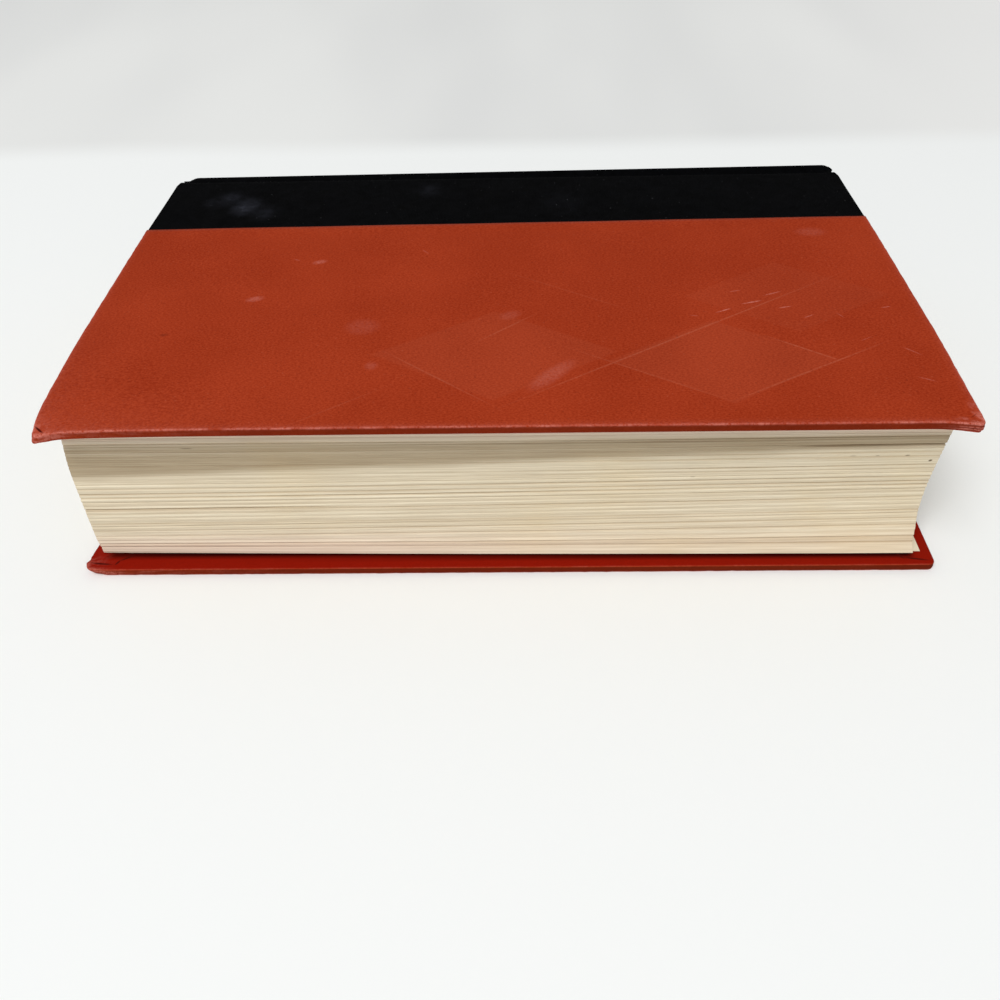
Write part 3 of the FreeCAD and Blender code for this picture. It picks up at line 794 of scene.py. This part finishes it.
for side in ("back", "front"):
    make_cover_paper(side)

# %% [markdown]
# ## Boards and pasted leaves
#
# Under the paper lies the greyboard, thinner where the cloth is let into it. Inside, the pasted
# leaf of the endpaper is smoothed down over the turn-ins, so their edges show through it.

# %% Boards
def make_greyboard(side):
    """Two matching grids, outer and inner face, pressed in where the cloth lies."""
    end = np.linspace(0.86, 1, 14)
    across = np.concatenate([-end[::-1], np.linspace(-0.85, 0.85, 12), end])
    along = np.concatenate([np.linspace(0, 0.1, 12), np.linspace(0.14, 0.7, 12),
                            np.linspace(0.71, 0.725, 4), np.linspace(0.75, 1, 5)])
    x_share, v_share = np.meshgrid(across, along)
    distance = PAPER + 0.35 + (BOARD_WIDTH - PAPER - 0.7) * v_share
    in_cloth = ease(distance, CLOTH_START - 1.0, CLOTH_START)
    corner = np.maximum(*CORNERS[side])
    half = HALF_HEIGHT - PAPER - 0.3 - 0.25 * in_cloth - corner * np.clip(1 - distance / corner, 0, 1)
    half = half - 3.4 * ease(distance, BOARD_WIDTH - 4.5, BOARD_WIDTH - 2.0)
    x = x_share * half
    under_turn_in = in_cloth * (np.abs(x) > HALF_HEIGHT - TURN_IN)
    outer = points_at(x, distance, PAPER + 0.05 + 0.3 * in_cloth)
    inner = points_at(x, distance, BOARD_INSIDE - 0.05 - 0.3 * under_turn_in)
    points, faces = between(*(on_side(bend(grid, side), side) for grid in (outer, inner)))
    piece = make_piece(side + "_greyboard", points, faces, greyboard, side + "_cover", closed=True)
    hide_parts(side + "_board")


# %% Pasted leaves
def make_pasted_leaf(side):
    """The pasted leaf: raised by a paper's thickness wherever a turn-in or the mull lies under it."""
    x, share = np.meshgrid(np.linspace(-LEAF_HALF, LEAF_HALF, 200), np.linspace(0, 1, 150))
    start = first_edge(x) + 1.3
    distance = start + (pasted_high[1] - start) * share
    inside = TURN_IN - HALF_HEIGHT
    over_sides = 1 - ease(np.abs(x), -inside - 0.4, -inside + 0.4)
    over_sides = 1 - over_sides * ease(distance, TURN_IN - 0.4, TURN_IN + 0.4)
    over_sides = over_sides * (1 - ease(distance, PAPER_END - 0.3, PAPER_END + 0.3))
    mull_start = measure(side + "_mull_flap")[0][1]
    over_mull = ease(distance, mull_start - 0.4, mull_start + 0.4)
    over_mull = over_mull * (1 - ease(np.abs(x), mull_high[0] - 0.4, mull_high[0] + 0.4))
    raised = np.maximum(over_sides, over_mull)
    level = pasted_low[2] + (pasted_high[2] - pasted_low[2]) * (0.5 + 0.5 * raised)
    face = points_at(x, distance, level + 0.015 * waves(points_at(x, distance, level), 14.0, 21))
    back = face - (0.0, 0.0, (pasted_high[2] - pasted_low[2]) / 2 - 0.02)
    points, faces = between(*(on_side(bend(grid, side), side) for grid in (face, back)))
    piece = make_piece(side + "_pasted_leaf", points, faces, endpaper, side + "_cover", closed=True)
    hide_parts(side + "_pastedown")


for side in ("back", "front"):
    make_greyboard(side)
    make_pasted_leaf(side)

# %% [markdown]
# ## Book cloth
#
# One strip of cloth covers the hinge side of both boards, dips into each joint and runs over the spine. It is
# modelled in three pieces that meet where the cloth lies on the spine, because each cover moves.

# %% The cloth's wrap across the book
def cloth_section(depth, half):
    """Carry a folded section along a path: turn-in, edge, outer face, edge, turn-in.

    Depth is the distance from outer face to turn-in at each point of the path, and half the
    distance from the middle to the head edge. Returns x and depth, one row for each point."""
    radius = np.minimum(0.42, depth / 2)[:, None]
    depth = depth[:, None]
    half = np.broadcast_to(half, depth.shape[0])[:, None]
    quarter = np.linspace(0, np.pi / 2, 5)[None, :]
    turn_x = (half - TURN_IN) + (TURN_IN - radius) * np.array([[0.0, 0.4, 0.75, 0.93]])
    lower = half - radius + radius * np.sin(quarter), depth - radius * (1 - np.cos(quarter))
    upper = half - radius + radius * np.cos(quarter), radius * (1 - np.sin(quarter))
    face_x = (half - radius) * np.cos(np.linspace(0, np.pi, 90))[None, 1:-1]
    x = np.concatenate([turn_x, lower[0], upper[0]], axis=1)
    z = np.concatenate([np.broadcast_to(depth, turn_x.shape), lower[1], upper[1]], axis=1)
    x = np.concatenate([x, face_x, -x[:, ::-1]], axis=1)
    return x, np.concatenate([z, np.zeros(face_x.shape), z[:, ::-1]], axis=1)


def smooth_path(knots, places):
    """A smooth curve through knots (Catmull-Rom), read at shares 0 to 1 of its length."""
    knots = np.asarray(knots, float)
    padded = np.concatenate([2 * knots[:1] - knots[1:2], knots, 2 * knots[-1:] - knots[-2:-1]])
    share = np.linspace(0, 1, 30, endpoint=False)[None, :, None]
    before, start, end, after = (padded[n:n + len(knots) - 1, None] for n in range(4))
    curve = 0.5 * (2 * start + (end - before) * share
                   + (2 * before - 5 * start + 4 * end - after) * share ** 2
                   + (3 * start - before - 3 * end + after) * share ** 3)
    curve = np.concatenate([curve.reshape(-1, 2), knots[-1:]])
    run = np.concatenate([[0], np.cumsum(np.linalg.norm(np.diff(curve, axis=0), axis=1))])
    wanted = places * run[-1]
    return np.stack([np.interp(wanted, run, curve[:, n]) for n in (0, 1)], -1), wanted


def on_spine(angle, radius=SPINE_RADIUS):
    """Distance from the fore-edge and level of a point on the rounded spine."""
    return SPINE_CENTRE + radius * np.cos(angle), MIDDLE - radius * np.sin(angle)


def pinch(x, on_crest):
    """How far the cloth is drawn in near both ends of the spine, most on the crests."""
    near_end = np.clip((np.abs(x) - (HALF_HEIGHT - 5.1 + 0.8 * np.sign(x))) / 5.0, 0, 1.05)
    return near_end ** 2.2 * (0.3 + 2.5 * on_crest)


def tilt(x):
    """The front crest has been pushed down at the tail and stands up at the head."""
    return 0.1 + 0.0046 * x


SEAM_ANGLE = FOLD_ANGLE - 1.4 / SPINE_RADIUS      # where joint cloth and spine cloth meet


def joint_knots():
    """The cloth's outer face from under the side paper, over the board, down the groove and up."""
    floor = BOARD_INSIDE - 0.35
    crest = [on_spine(FOLD_ANGLE - reach / SPINE_RADIUS) for reach in (0.55, 1.0, 1.4)]
    return [
        (CLOTH_START, PAPER), (BOARD_WIDTH - 20, PAPER), (BOARD_WIDTH - 4, PAPER),
        (BOARD_WIDTH - 1.3, PAPER), (BOARD_WIDTH - 0.2, PAPER + 0.10), (BOARD_WIDTH + 0.5, PAPER + 0.5),
        (BOARD_WIDTH + 1.1, floor - 0.45), (BOARD_WIDTH + 1.9, floor - 0.08), (BOARD_WIDTH + 3.2, floor),
        (BOARD_WIDTH + 4.5, floor - 0.12), (FOLD_PLACE - 1.7, floor - 0.5),
        (FOLD_PLACE - 0.7, FOLD_DEPTH + 0.16), (FOLD_PLACE - 0.1, FOLD_DEPTH + 0.12),
        *crest,
    ]


def dusty(points, side):
    """Grey smudges where the photograph shows them, strongest near the tail.

    The round of the spine, which light and shelves have reached, has faded a little all over."""
    spots = [(-90.5, 127.6, 3.8, 0.44), (-97.5, 134.0, 3.4, 0.24), (-103.0, 131.0, 3.0, 0.14),
             (-83.0, 122.5, 3.6, 0.16), (-27.0, 138.5, 4.0, 0.12), (20.0, 128.0, 9.0, 0.05)]
    dust = np.zeros(points.shape[:-1])
    if side == "front":
        for x, distance, reach, strength in spots:
            away = np.hypot(points[..., 0] - x, (points[..., 1] - distance) * 0.7)
            dust = np.maximum(dust, strength * bell(away, reach))
    if side == "spine":
        faded = 0.13 * ease(points[..., 1], FOLD_PLACE + 3.0, FOLD_PLACE + 9.0)
        dust = faded + 0.15 * ease(np.abs(points[..., 0]), HALF_HEIGHT - 3, HALF_HEIGHT - 0.5)
    return np.maximum(dust, 0.02)


def make_joint_cloth(side):
    """The cloth of one cover, from under its side paper to the crest of the spine."""
    places = np.concatenate([np.linspace(0, 0.72, 26), np.linspace(0.73, 1, 70)])
    path, run = smooth_path(joint_knots(), places)
    slope = np.gradient(path, axis=0)
    slope /= np.linalg.norm(slope, axis=1, keepdims=True)
    inward = np.stack([-slope[:, 1], slope[:, 0]], -1)
    on_board = 1 - ease(path[:, 0], BOARD_WIDTH + 0.6, BOARD_WIDTH + 2.0)
    envelope = np.maximum(2 * CLOTH + 0.02, BOARD_INSIDE - path[:, 1])
    envelope = np.where(path[:, 0] < BOARD_WIDTH + 3.2, envelope, 2 * CLOTH + 0.02)
    inward = inward * (1 - on_board)[:, None] + np.array([0.0, 1.0]) * on_board[:, None]
    drawn_in = ease(path[:, 0], BOARD_WIDTH - 3, BOARD_WIDTH + 1)
    drawn_in = drawn_in * (1 - ease(path[:, 0], BOARD_WIDTH + 3, FOLD_PLACE - 1))
    x, depth = cloth_section(envelope, HALF_HEIGHT - PAPER - 1.1 * drawn_in)
    near_crest = ease(path[:, 0], FOLD_PLACE - 3.0, FOLD_PLACE - 0.4)[:, None]
    filled = 0.4 * drawn_in[:, None] * ease(np.abs(x), HALF_HEIGHT - 5.0, HALF_HEIGHT - 1.0)
    flat = path[:, None, :] + inward[:, None, :] * (depth + pinch(x, 1.0) * near_crest - filled)[..., None]
    if side == "front":
        flat[..., 1] -= tilt(x) * near_crest
    points = np.concatenate([x[..., None], flat], -1)
    outward = points_at(0.0, -inward[:, :1], -inward[:, 1:]) * (depth < 0.05)[..., None]
    weave = points_at(x + np.sign(x) * depth, run[:, None])
    bent = on_side(bend(points, side), side).reshape(-1, 3)
    faces = turned_out(bent, grid_faces(*x.shape), turned(outward, side).reshape(-1, 3))
    piece = make_piece(side + "_joint_cloth", bent, faces, book_cloth, weave=weave, dust=dusty(points, side))
    give_thickness(piece, CLOTH)
    radial = np.array([math.cos(FOLD_ANGLE), -math.sin(FOLD_ANGLE)])
    for reach in (1.6, 0.15):
        end = np.array([[0.0, FOLD_PLACE - radial[0] * reach, FOLD_DEPTH - radial[1] * reach]])
        tuple(to_frame(on_side(end, side))[0])
    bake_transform(piece)
    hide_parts(side + "_cloth")
    return run[-1]


def crest_share(angle):
    """1 at the crests on both sides of the spine, and 0 on the round between them."""
    return ease(np.abs(angle), SEAM_ANGLE - 0.11, SEAM_ANGLE)


def make_spine_card():
    """The card inlay: an arc under the cloth, drawn in with it at both ends."""
    reach = FOLD_ANGLE - 0.9 / SPINE_RADIUS
    half = HALF_HEIGHT - 0.8
    x, angle = np.meshgrid(np.linspace(-half, half, 160), np.linspace(-reach, reach, 60))
    layers = []
    for depth in (0.40, 0.85):
        distance, level = on_spine(angle, SPINE_RADIUS - depth - pinch(x, crest_share(angle)))
        level = level + tilt(x) * ease(-angle, 0.15, SEAM_ANGLE)
        layers.append(points_at(x, distance, level))
    points, faces = between(*layers)
    piece = make_piece("spine_card", points, faces, spine_card, "book_block", closed=True)
    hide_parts("spine_inlay")


def make_spine_cloth(run_before):
    """The cloth over the spine: an arc, with the same folded section carried round it."""
    angle = np.linspace(-SEAM_ANGLE, SEAM_ANGLE, 90)
    depth = np.full(angle.shape, SPINE_RADIUS - (inlay_high[1] - SPINE_CENTRE) + 0.85)
    x, depth = cloth_section(depth, HALF_HEIGHT - 0.1)
    radius = SPINE_RADIUS - depth - pinch(x, crest_share(angle[:, None]))
    distance, level = on_spine(angle[:, None], radius)
    level = level + tilt(x) * ease(-angle[:, None], 0.15, SEAM_ANGLE)
    points = points_at(x, distance, level)
    outward = points_at(0.0, distance - SPINE_CENTRE, level - MIDDLE) * (depth < 0.05)[..., None]
    run = run_before + SPINE_RADIUS * (SEAM_ANGLE + angle[:, None])
    weave = points_at(x + np.sign(x) * depth, run)
    flat = points.reshape(-1, 3)
    faces = turned_out(flat, grid_faces(*x.shape), outward.reshape(-1, 3))
    piece = make_piece("spine_book_cloth", flat, faces, book_cloth, "book_block", weave=weave,
                       dust=dusty(points, "spine"))
    give_thickness(piece, CLOTH)
    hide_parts("spine_cloth")


cloth_run = [make_joint_cloth(side) for side in ("back", "front")][0]
make_spine_cloth(cloth_run)
make_spine_card()

# %% [markdown]
# ## Text block
#
# About five hundred leaves, sewn in some thirty sections and trimmed on three sides. Only their
# edges show, so the block is one closed surface: row on row of points round it, each row a
# fraction of a millimetre above the last. Every row is set back by its own small amount, deeper
# where two sections part.

# %% Text block
ROWS = 236                 # a little more than one row for every two leaves
SECTIONS = 30
LEAN = 0.35                # the middle leaves have slid this far in from the ends
EAR = LEAF_FACE - block_low[2]


def fore_profile(x, share):
    """How far behind the board's fore-edge the leaves end, at a share of the block's height.

    At the tail they step back evenly. At the head they curve back first, by a falling
    exponential, and come forward again with a power of the height."""
    height = share * (THICKNESS - 2 * LEAF_FACE)
    head = 8.6 * (1 - np.exp(-height / 5.6)) - 5.4 * share ** 1.3
    tail = 2.0 * share
    to_head = (x / LEAF_HALF + 1) / 2
    return first_edge(x) + tail + (head - tail) * to_head


def leaf_setback(share, along):
    """How far each row lies behind the trimmed face, and its tone, from 0 dark to 1 pale.

    Adds three things: single leaves, bundles of a few leaves, and the gap between two sections.
    Each changes slowly along the edge, and the middle of the block is pressed smoothest."""
    random = np.random.default_rng(7)
    rows = len(share)
    kernel = np.exp(-np.linspace(-2, 2, 9) ** 2)
    bundle = np.convolve(random.normal(0, 1, rows), kernel / np.linalg.norm(kernel), "same")[:, None]
    single = random.normal(0, 1, rows)[:, None]
    length = random.uniform(25, 60, rows)[:, None]
    swell = 1 + 0.5 * np.sin(along[None, :] / length + random.uniform(0, 6, rows)[:, None])
    smooth = bell(share[:, None] - 0.64, 0.13) * (1 - ease(along[None, :], -30, 80))
    loose = 0.95 - 0.65 * smooth
    parting = np.zeros(rows)
    spots = np.round((np.arange(1, SECTIONS) / SECTIONS) * rows + random.normal(0, 1.4, SECTIONS - 1))
    parting[np.clip(spots, 2, rows - 3).astype(int)] = random.uniform(0.10, 0.42, SECTIONS - 1)
    parting = np.convolve(parting, (0.35, 1.0, 0.35), "same")
    parting = parting[:, None] * (0.45 + 0.45 * swell) * loose
    setback = 0.025 * single + 0.05 * bundle * swell * loose + parting
    # Painted shade: the tone goes darker where bundles are set back, and most in the gaps between sections.
    tone = 0.80 + 0.10 * single * loose - 0.09 * bundle * swell * loose - 1.25 * parting
    return setback, tone


def sinking(x, distance, level):
    """The top leaves give way under the front cover's hanging corners."""
    return droop(x, distance) * ease(level, 36, THICKNESS - LEAF_FACE)


def block_surface(row_share, x_part, v_part):
    """A point of the block from its height, its place across and its place in depth."""
    slid = LEAN * np.sin(np.pi * row_share)
    x = x_part * LEAF_HALF - slid * np.abs(x_part)
    fore = fore_profile(x_part * LEAF_HALF, row_share)
    flat = LEAF_FACE + row_share * (THICKNESS - 2 * LEAF_FACE)
    outmost = 2 * row_share - 1
    tip = flat + outmost * EAR
    back = SPINE_CENTRE + np.sqrt(BACK_RADIUS ** 2 - (tip - MIDDLE) ** 2)
    distance = fore + (back - fore) * v_part
    foot = front_leaf_high[1] - 9.0 * (1 - np.abs(outmost))
    rise = np.clip((distance - foot) / (back - foot), 0, 1)
    at_end = np.abs(x_part) ** 8
    x = x + 1.0 * ease(row_share, 0.6, 1) * (x_part < 0) * at_end
    narrow = (0.5 + 0.45 * (x_part > 0)) * x_part * at_end
    x = x - narrow * (1 - ease(row_share, 0, 0.14)) * (1 - ease(distance, 8, 60))
    level = flat + outmost * EAR * rise
    return points_at(x, distance, level - sinking(x, distance, level))


def leaf_marks(height, along, on_fore, tone):
    """The marks on the leaves' edges, by height and place along the edge.

    A darker band below the top leaves, lowest at the tail, is in part soiling and in part painted shadow of
    the front cover's overhang. The top rows are painted lighter, most at the tail, for light that reaches in
    under the cover. Painted red reflection from the covers colours the lowest leaves, most at the tail, and
    the highest ones."""
    to_head = np.clip((along / LEAF_HALF + 1) / 2, 0, 1)
    upper = ease(height - 0.03 * to_head, 0.785, 0.845)
    lower = 0.10 * ease(height, 0.12, 0.30) - 0.10 * (1 - ease(height, 0.10, 0.20))
    # Painted light: the top rows under the cover are drawn paler, most at the tail.
    tone = tone + lower * to_head * on_fore + 0.25 * upper * (1 - 0.5 * to_head) * on_fore
    # Darker band: in part soiling, in part painted shadow of the front cover's overhang.
    soil_and_overhang_shade = ease(height - 0.17 * to_head, 0.56, 0.625) * (1 - 0.95 * upper)
    soil_and_overhang_shade = soil_and_overhang_shade * (1 - 0.35 * (1 - to_head) * bell(height - 0.765, 0.025)) * on_fore
    low_leaves = (1 - ease(height, 0.02, 0.20)) * (1 - 0.75 * ease(along, -80, 60))
    # Painted red reflection: the covers' red light drawn on the lowest and the highest leaves.
    painted_red_reflection = (0.45 * low_leaves + 0.60 * ease(height, 0.82, 0.92)) * on_fore
    return {"tone": np.clip(tone, 0, 1), "painted_red_reflection": np.clip(painted_red_reflection, 0, 1), "soil_and_overhang_shade": soil_and_overhang_shade}


def make_text_block():
    """Loops round the leaves, from the first leaf to the last, and a flat cap at each end."""
    share = np.linspace(0, 1, ROWS)
    height = share[:, None]
    into = 1 - np.cos(np.linspace(0, np.pi / 2, 45))
    into = 0.5 * into + 0.5 * np.linspace(0, 1, 45)
    x_share, depth_share = np.meshgrid(np.linspace(-1, 1, 97), into, indexing="ij")
    plan = points_at(x_share, depth_share)
    loop = np.concatenate([plan[:, 0], plan[-1, 1:], plan[-2::-1, -1], plan[0, -2:0:-1]])
    walls = block_surface(height, loop[None, :, 0], loop[None, :, 1])
    on_fore = np.isclose(loop[:, 1], 0)
    on_ends = np.isclose(np.abs(loop[:, 0]), 1) & ~on_fore
    along = np.where(on_fore, loop[:, 0] * LEAF_HALF, LEAF_HALF + loop[:, 1] * BOARD_WIDTH)
    setback, tone = leaf_setback(share, along)
    inward = np.zeros((1, len(loop), 3))
    inward[0, on_fore, 1] = 1.0
    inward[0, on_ends, 0] = -np.sign(loop[on_ends, 0])
    fade = np.minimum(ease(height, 0, 0.01), 1 - ease(height, 0.99, 1))
    tail_gape = bell((height - 0.345) * ROWS, 0.9) * on_fore * ease(-along, 30, 75)
    head_gape = bell((height - 0.765) * ROWS, 1.0) * on_fore * ease(along, 70, 95)
    setback = (setback + 0.7 * tail_gape + 1.2 * head_gape) * fade
    # Painted shade in the two gapes: their rows are drawn darker as well as set back.
    tone = tone - 0.45 * tail_gape - 0.8 * head_gape
    flat = (walls + inward * setback[..., None]).reshape(-1, 3)
    outward = -np.broadcast_to(inward, walls.shape).reshape(-1, 3)
    parts = [(flat, turned_out(flat, grid_faces(ROWS, len(loop), closed=True), outward))]
    for level in (0.0, 1.0):
        cap = block_surface(np.full(x_share.shape, level), x_share, depth_share).reshape(-1, 3)
        outward = np.broadcast_to((0.0, 0.0, 2 * level - 1), cap.shape)
        parts.append((cap, turned_out(cap, grid_faces(*x_share.shape), outward)))
    points, faces = stack(*parts)
    on_caps = {"tone": 0.75, "painted_red_reflection": 0.0, "soil_and_overhang_shade": 0.0}
    marks = leaf_marks(height, along, on_fore, tone)
    marks = {name: np.concatenate([marks[name].ravel(), np.full(2 * x_share.size, value)])
             for name, value in on_caps.items()}
    piece = make_piece("leaves", points, faces, leaf_edges, "book_block", **marks)
    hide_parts("text_block")


make_text_block()

# %% [markdown]
# ## Free leaves, headbands and the layers on the back
#
# The free half of each endpaper lies on the block. A headband is thread wound on a core, glued to the back of
# the leaves so that its bead sits on their ends. Mull and lining keep the imported model's shape, and only
# get their finish.

# %% Free leaves of the endpapers
def make_free_leaf(side, low, high):
    """A thin sheet on the block, with a hint of cockle."""
    x, share = np.meshgrid(np.linspace(low[0], high[0], 90), np.linspace(0, 1, 60))
    start = fore_profile(x, 0.0 if side == "back" else 1.0) + 0.1
    face = points_at(x * (1 - 0.008 * (1 - share) ** 3), start + (high[1] - start) * share, high[2])
    face[..., 2] -= 0.02 - 0.02 * waves(face, 40.0, 31)
    if side == "front":
        face[..., 2] -= sinking(face[..., 0], face[..., 1], face[..., 2])
    under = face - (0.0, 0.0, high[2] - low[2] - 0.06)
    points, faces = between(face, under)
    piece = make_piece(side + "_free_leaf", points, faces, endpaper, "book_block", closed=True)
    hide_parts(side + "_flyleaf")


# %% Headbands
def make_headband_piece(name, sign):
    """A bead wound with thread round the arc of the back, and the tape that holds it."""
    reach = FOLD_ANGLE - 4.0 / BACK_RADIUS
    along = np.linspace(-reach, reach, 420)
    round_bead = np.linspace(0, 2 * np.pi, 14, endpoint=False)
    centre_radius = mull_high[1] - SPINE_CENTRE - 0.6
    angle, turn = np.meshgrid(along, round_bead, indexing="ij")
    thread = 0.84 + 0.05 * np.cos(2 * np.pi * angle * centre_radius / 0.42)
    ends = np.sqrt(np.clip(1 - (np.abs(angle) / reach) ** 60, 0, 1))
    radius = centre_radius + thread * ends * np.cos(turn)
    x = sign * (LEAF_HALF + 0.86 - LEAN * 0.35 + thread * ends * np.sin(turn))
    distance, level = on_spine(angle, radius)
    bead = points_at(x, distance, level).reshape(-1, 3)
    faces = grid_faces(len(along), len(round_bead), closed=True)
    if volume(bead, faces) < 0:
        faces = faces[:, ::-1]
    stripe = (np.sin(2 * np.pi * angle * centre_radius / 2.4) > 0).astype(float)
    tape_x = np.linspace(mull_high[0] + 0.4, LEAF_HALF, 8)
    tape_angle, tape_x = np.meshgrid(np.linspace(-reach, reach, 60), tape_x * sign, indexing="ij")
    layers = []
    for radius in (mull_high[1] - SPINE_CENTRE - 0.02, BACK_RADIUS + 0.02):
        distance, level = on_spine(tape_angle, radius)
        layers.append(points_at(tape_x, distance, level))
    tape, tape_faces = between(*layers)
    if volume(tape, tape_faces) < 0:
        tape_faces = tape_faces[:, ::-1]
    points, faces = stack((bead, faces), (tape, tape_faces))
    stripe = np.concatenate([stripe.ravel(), np.zeros(len(tape))])
    piece = make_piece(name + "_thread", points, faces, headband_thread, "book_block", stripe=stripe)
    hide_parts(name)


# %% Endpaper in the gutter
GUTTER_HALF = LEAF_HALF - 2.5     # the endpaper shows in the joint this far from the middle
GUTTER = 0.14                     # between the endpaper's two outer faces, in mm


def in_gutter(x, along, offset, side):
    """A point this far down the slope from the fold, and this far across it from the cover."""
    distance = FOLD_PLACE - math.cos(FOLD_ANGLE) * along + math.sin(FOLD_ANGLE) * offset
    depth = FOLD_DEPTH + math.sin(FOLD_ANGLE) * along + math.cos(FOLD_ANGLE) * offset
    if side == "front":
        depth = depth - (tilt(x) - 0.1) * (1 - ease(along, 0.3, 4.0))
    return on_side(points_at(x, distance, depth), side)


def make_gutter(side, rides_on, gap):
    """The endpaper where it lines the joint: a skin from its leaf to the fold, on either side."""
    reach = np.linspace(0.75, (LEAF_FACE - FOLD_DEPTH) / math.sin(FOLD_ANGLE) - 0.25, 12)
    x, along = np.meshgrid(np.linspace(-GUTTER_HALF, GUTTER_HALF, 60), reach)
    points, faces = between(*(in_gutter(x, along, offset, side) for offset in gap))
    owner = "cover" if rides_on.endswith("cover") else "block"
    piece = make_piece(f"{side}_gutter_on_{owner}", points, faces, endpaper, rides_on, closed=True)


def make_gutter_fold(side):
    """The fold of the endpaper, from one skin round to the other."""
    turn = np.linspace(0, np.pi, 9)
    along = np.concatenate([[1.4, 1.0], 0.72 - 0.07 * np.sin(turn), [1.0, 1.4]])
    offset = np.concatenate([[0.0, 0.0], GUTTER / 2 * (1 - np.cos(turn)), [GUTTER, GUTTER]])
    inner = np.concatenate([[0.03, 0.03], 0.07 - 0.04 * np.cos(turn), [0.11, 0.11]])
    x, along = np.meshgrid(np.linspace(-GUTTER_HALF, GUTTER_HALF, 60), along)
    layers = [in_gutter(x, along, offset[:, None], side), in_gutter(x, along + 0.03, inner[:, None], side)]
    points, faces = between(*layers)
    piece = make_piece(side + "_gutter_fold", points, faces, endpaper, closed=True)
    ends = [tuple(to_frame(in_gutter(0.0, 0.8, place, side))) for place in (0.0, GUTTER)]
    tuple(ends[0])
    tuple(ends[1])
    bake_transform(piece)


make_free_leaf("back", leaf_low, leaf_high)
make_free_leaf("front", front_leaf_low, front_leaf_high)
make_headband_piece("head_band", 1)
make_headband_piece("tail_band", -1)
for side in ("back", "front"):
    make_gutter(side, side + "_cover", (0.0, 0.05))
    make_gutter(side, "book_block", (GUTTER - 0.05, GUTTER))
    make_gutter_fold(side)

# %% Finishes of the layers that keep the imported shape
for node, finish in (("spine_mull", mull_cloth), ("back_mull_flap", mull_cloth),
                     ("front_mull_flap", mull_cloth), ("spine_lining", lining_paper)):
    frame["nodes"][node].data.materials.clear()
    frame["nodes"][node].data.materials.append(finish)

# %% [markdown]
# ## Floor and light
#
# The book lies on a white sheet under one large soft light above and in front, in a pale room.
# The far part of the floor is greyer, as the cloth behind the book is in the photograph. Light
# levels add up to one on a level surface, so a colour looks about as it is written.

# %% Floor and light
ROOM_SHARE = 0.47          # of the light on a level surface that comes from the room
# The sheet stays flat here; where it would turn up, its shade is painted grey on the floor.
BACKDROP_STARTS = 303.0    # from the fore-edge, where the sheet turns up behind the book


def add_floor():
    """A wide flat sheet, white near the book and grey far behind it, but less so to the right: painted shade
    of the sheet where it turns up, with painted fold shading and painted light on the right.
    """
    reach = 6.0
    mesh = bpy.data.meshes.new("floor")
    corners = [(-reach, -reach, 0), (reach, -reach, 0), (reach, reach, 0), (-reach, reach, 0)]
    mesh.from_pydata(corners, [], [(0, 1, 2, 3)])
    floor = bpy.data.objects.new("floor", mesh)
    bpy.context.scene.collection.objects.link(floor)
    finish, place = start_finish("white_sheet", 0.9, Specular_IOR_Level=0.1)
    parts = add(finish, "SeparateXYZ", place).node.outputs
    line = (BACKDROP_STARTS + FORE_EDGE) * MM
    waver = add(finish, "TexNoise", place, per(180.0), 1.0, 0.55)
    waver = add(finish, "Math", waver, 0.012, operation="MULTIPLY")
    depth = add(finish, "Math", parts["Y"], waver, operation="ADD")
    far = add(finish, "MapRange", depth, line, line + 0.030, **SMOOTH)
    # Painted shade: the grey and its fold patches stand for the shade on the upturned sheet, painted lighter
    # towards the right.
    folds = patches(finish, add(finish, "Mapping", place, None, None, (1.0, 0.3, 1.0)), 170.0, 0.3, 0.7, 2.0)
    grey = add(finish, "Mix", folds, "#E2E3E2", "#ECEDEB", **COLOURS)
    to_right = add(finish, "MapRange", parts["X"], 0.08, 0.40, 0.0, 0.8, **SMOOTH)
    grey = add(finish, "Mix", to_right, grey, "#F6F6F4", **COLOURS)
    mesh.materials.append(end_finish(finish, add(finish, "Mix", far, "#F5F7F6", grey, **COLOURS)))


def add_light(name, position, size, share, target=(0.0, 0.0, 0.02)):
    """A square soft light that gives this share of the light on a level surface.

    A lamp of power P lights a level white surface at distance d with P cos(a) / (pi d)^2."""
    data = bpy.data.lights.new(name, "AREA")
    data.shape = "SQUARE"
    data.size = size
    way = Vector(target) - Vector(position)
    steepness = -way.z / way.length
    data.energy = share * (math.pi * way.length) ** 2 / steepness
    lamp = bpy.data.objects.new(name, data)
    lamp.location = position
    lamp.rotation_mode = "QUATERNION"
    lamp.rotation_quaternion = way.to_track_quat("-Z", "Y")
    bpy.context.scene.collection.objects.link(lamp)


def add_room():
    """An even pale room."""
    world = bpy.data.worlds.new("room")
    world.use_nodes = True
    background = world.node_tree.nodes["Background"]
    background.inputs["Color"].default_value = (1.0, 1.0, 1.0, 1.0)
    background.inputs["Strength"].default_value = ROOM_SHARE
    bpy.context.scene.world = world


add_floor()
add_room()
add_light("window", (-0.85, -1.75, 2.95), 1.7, 1.03 - ROOM_SHARE)
bpy.context.scene.view_settings.view_transform = "Standard"
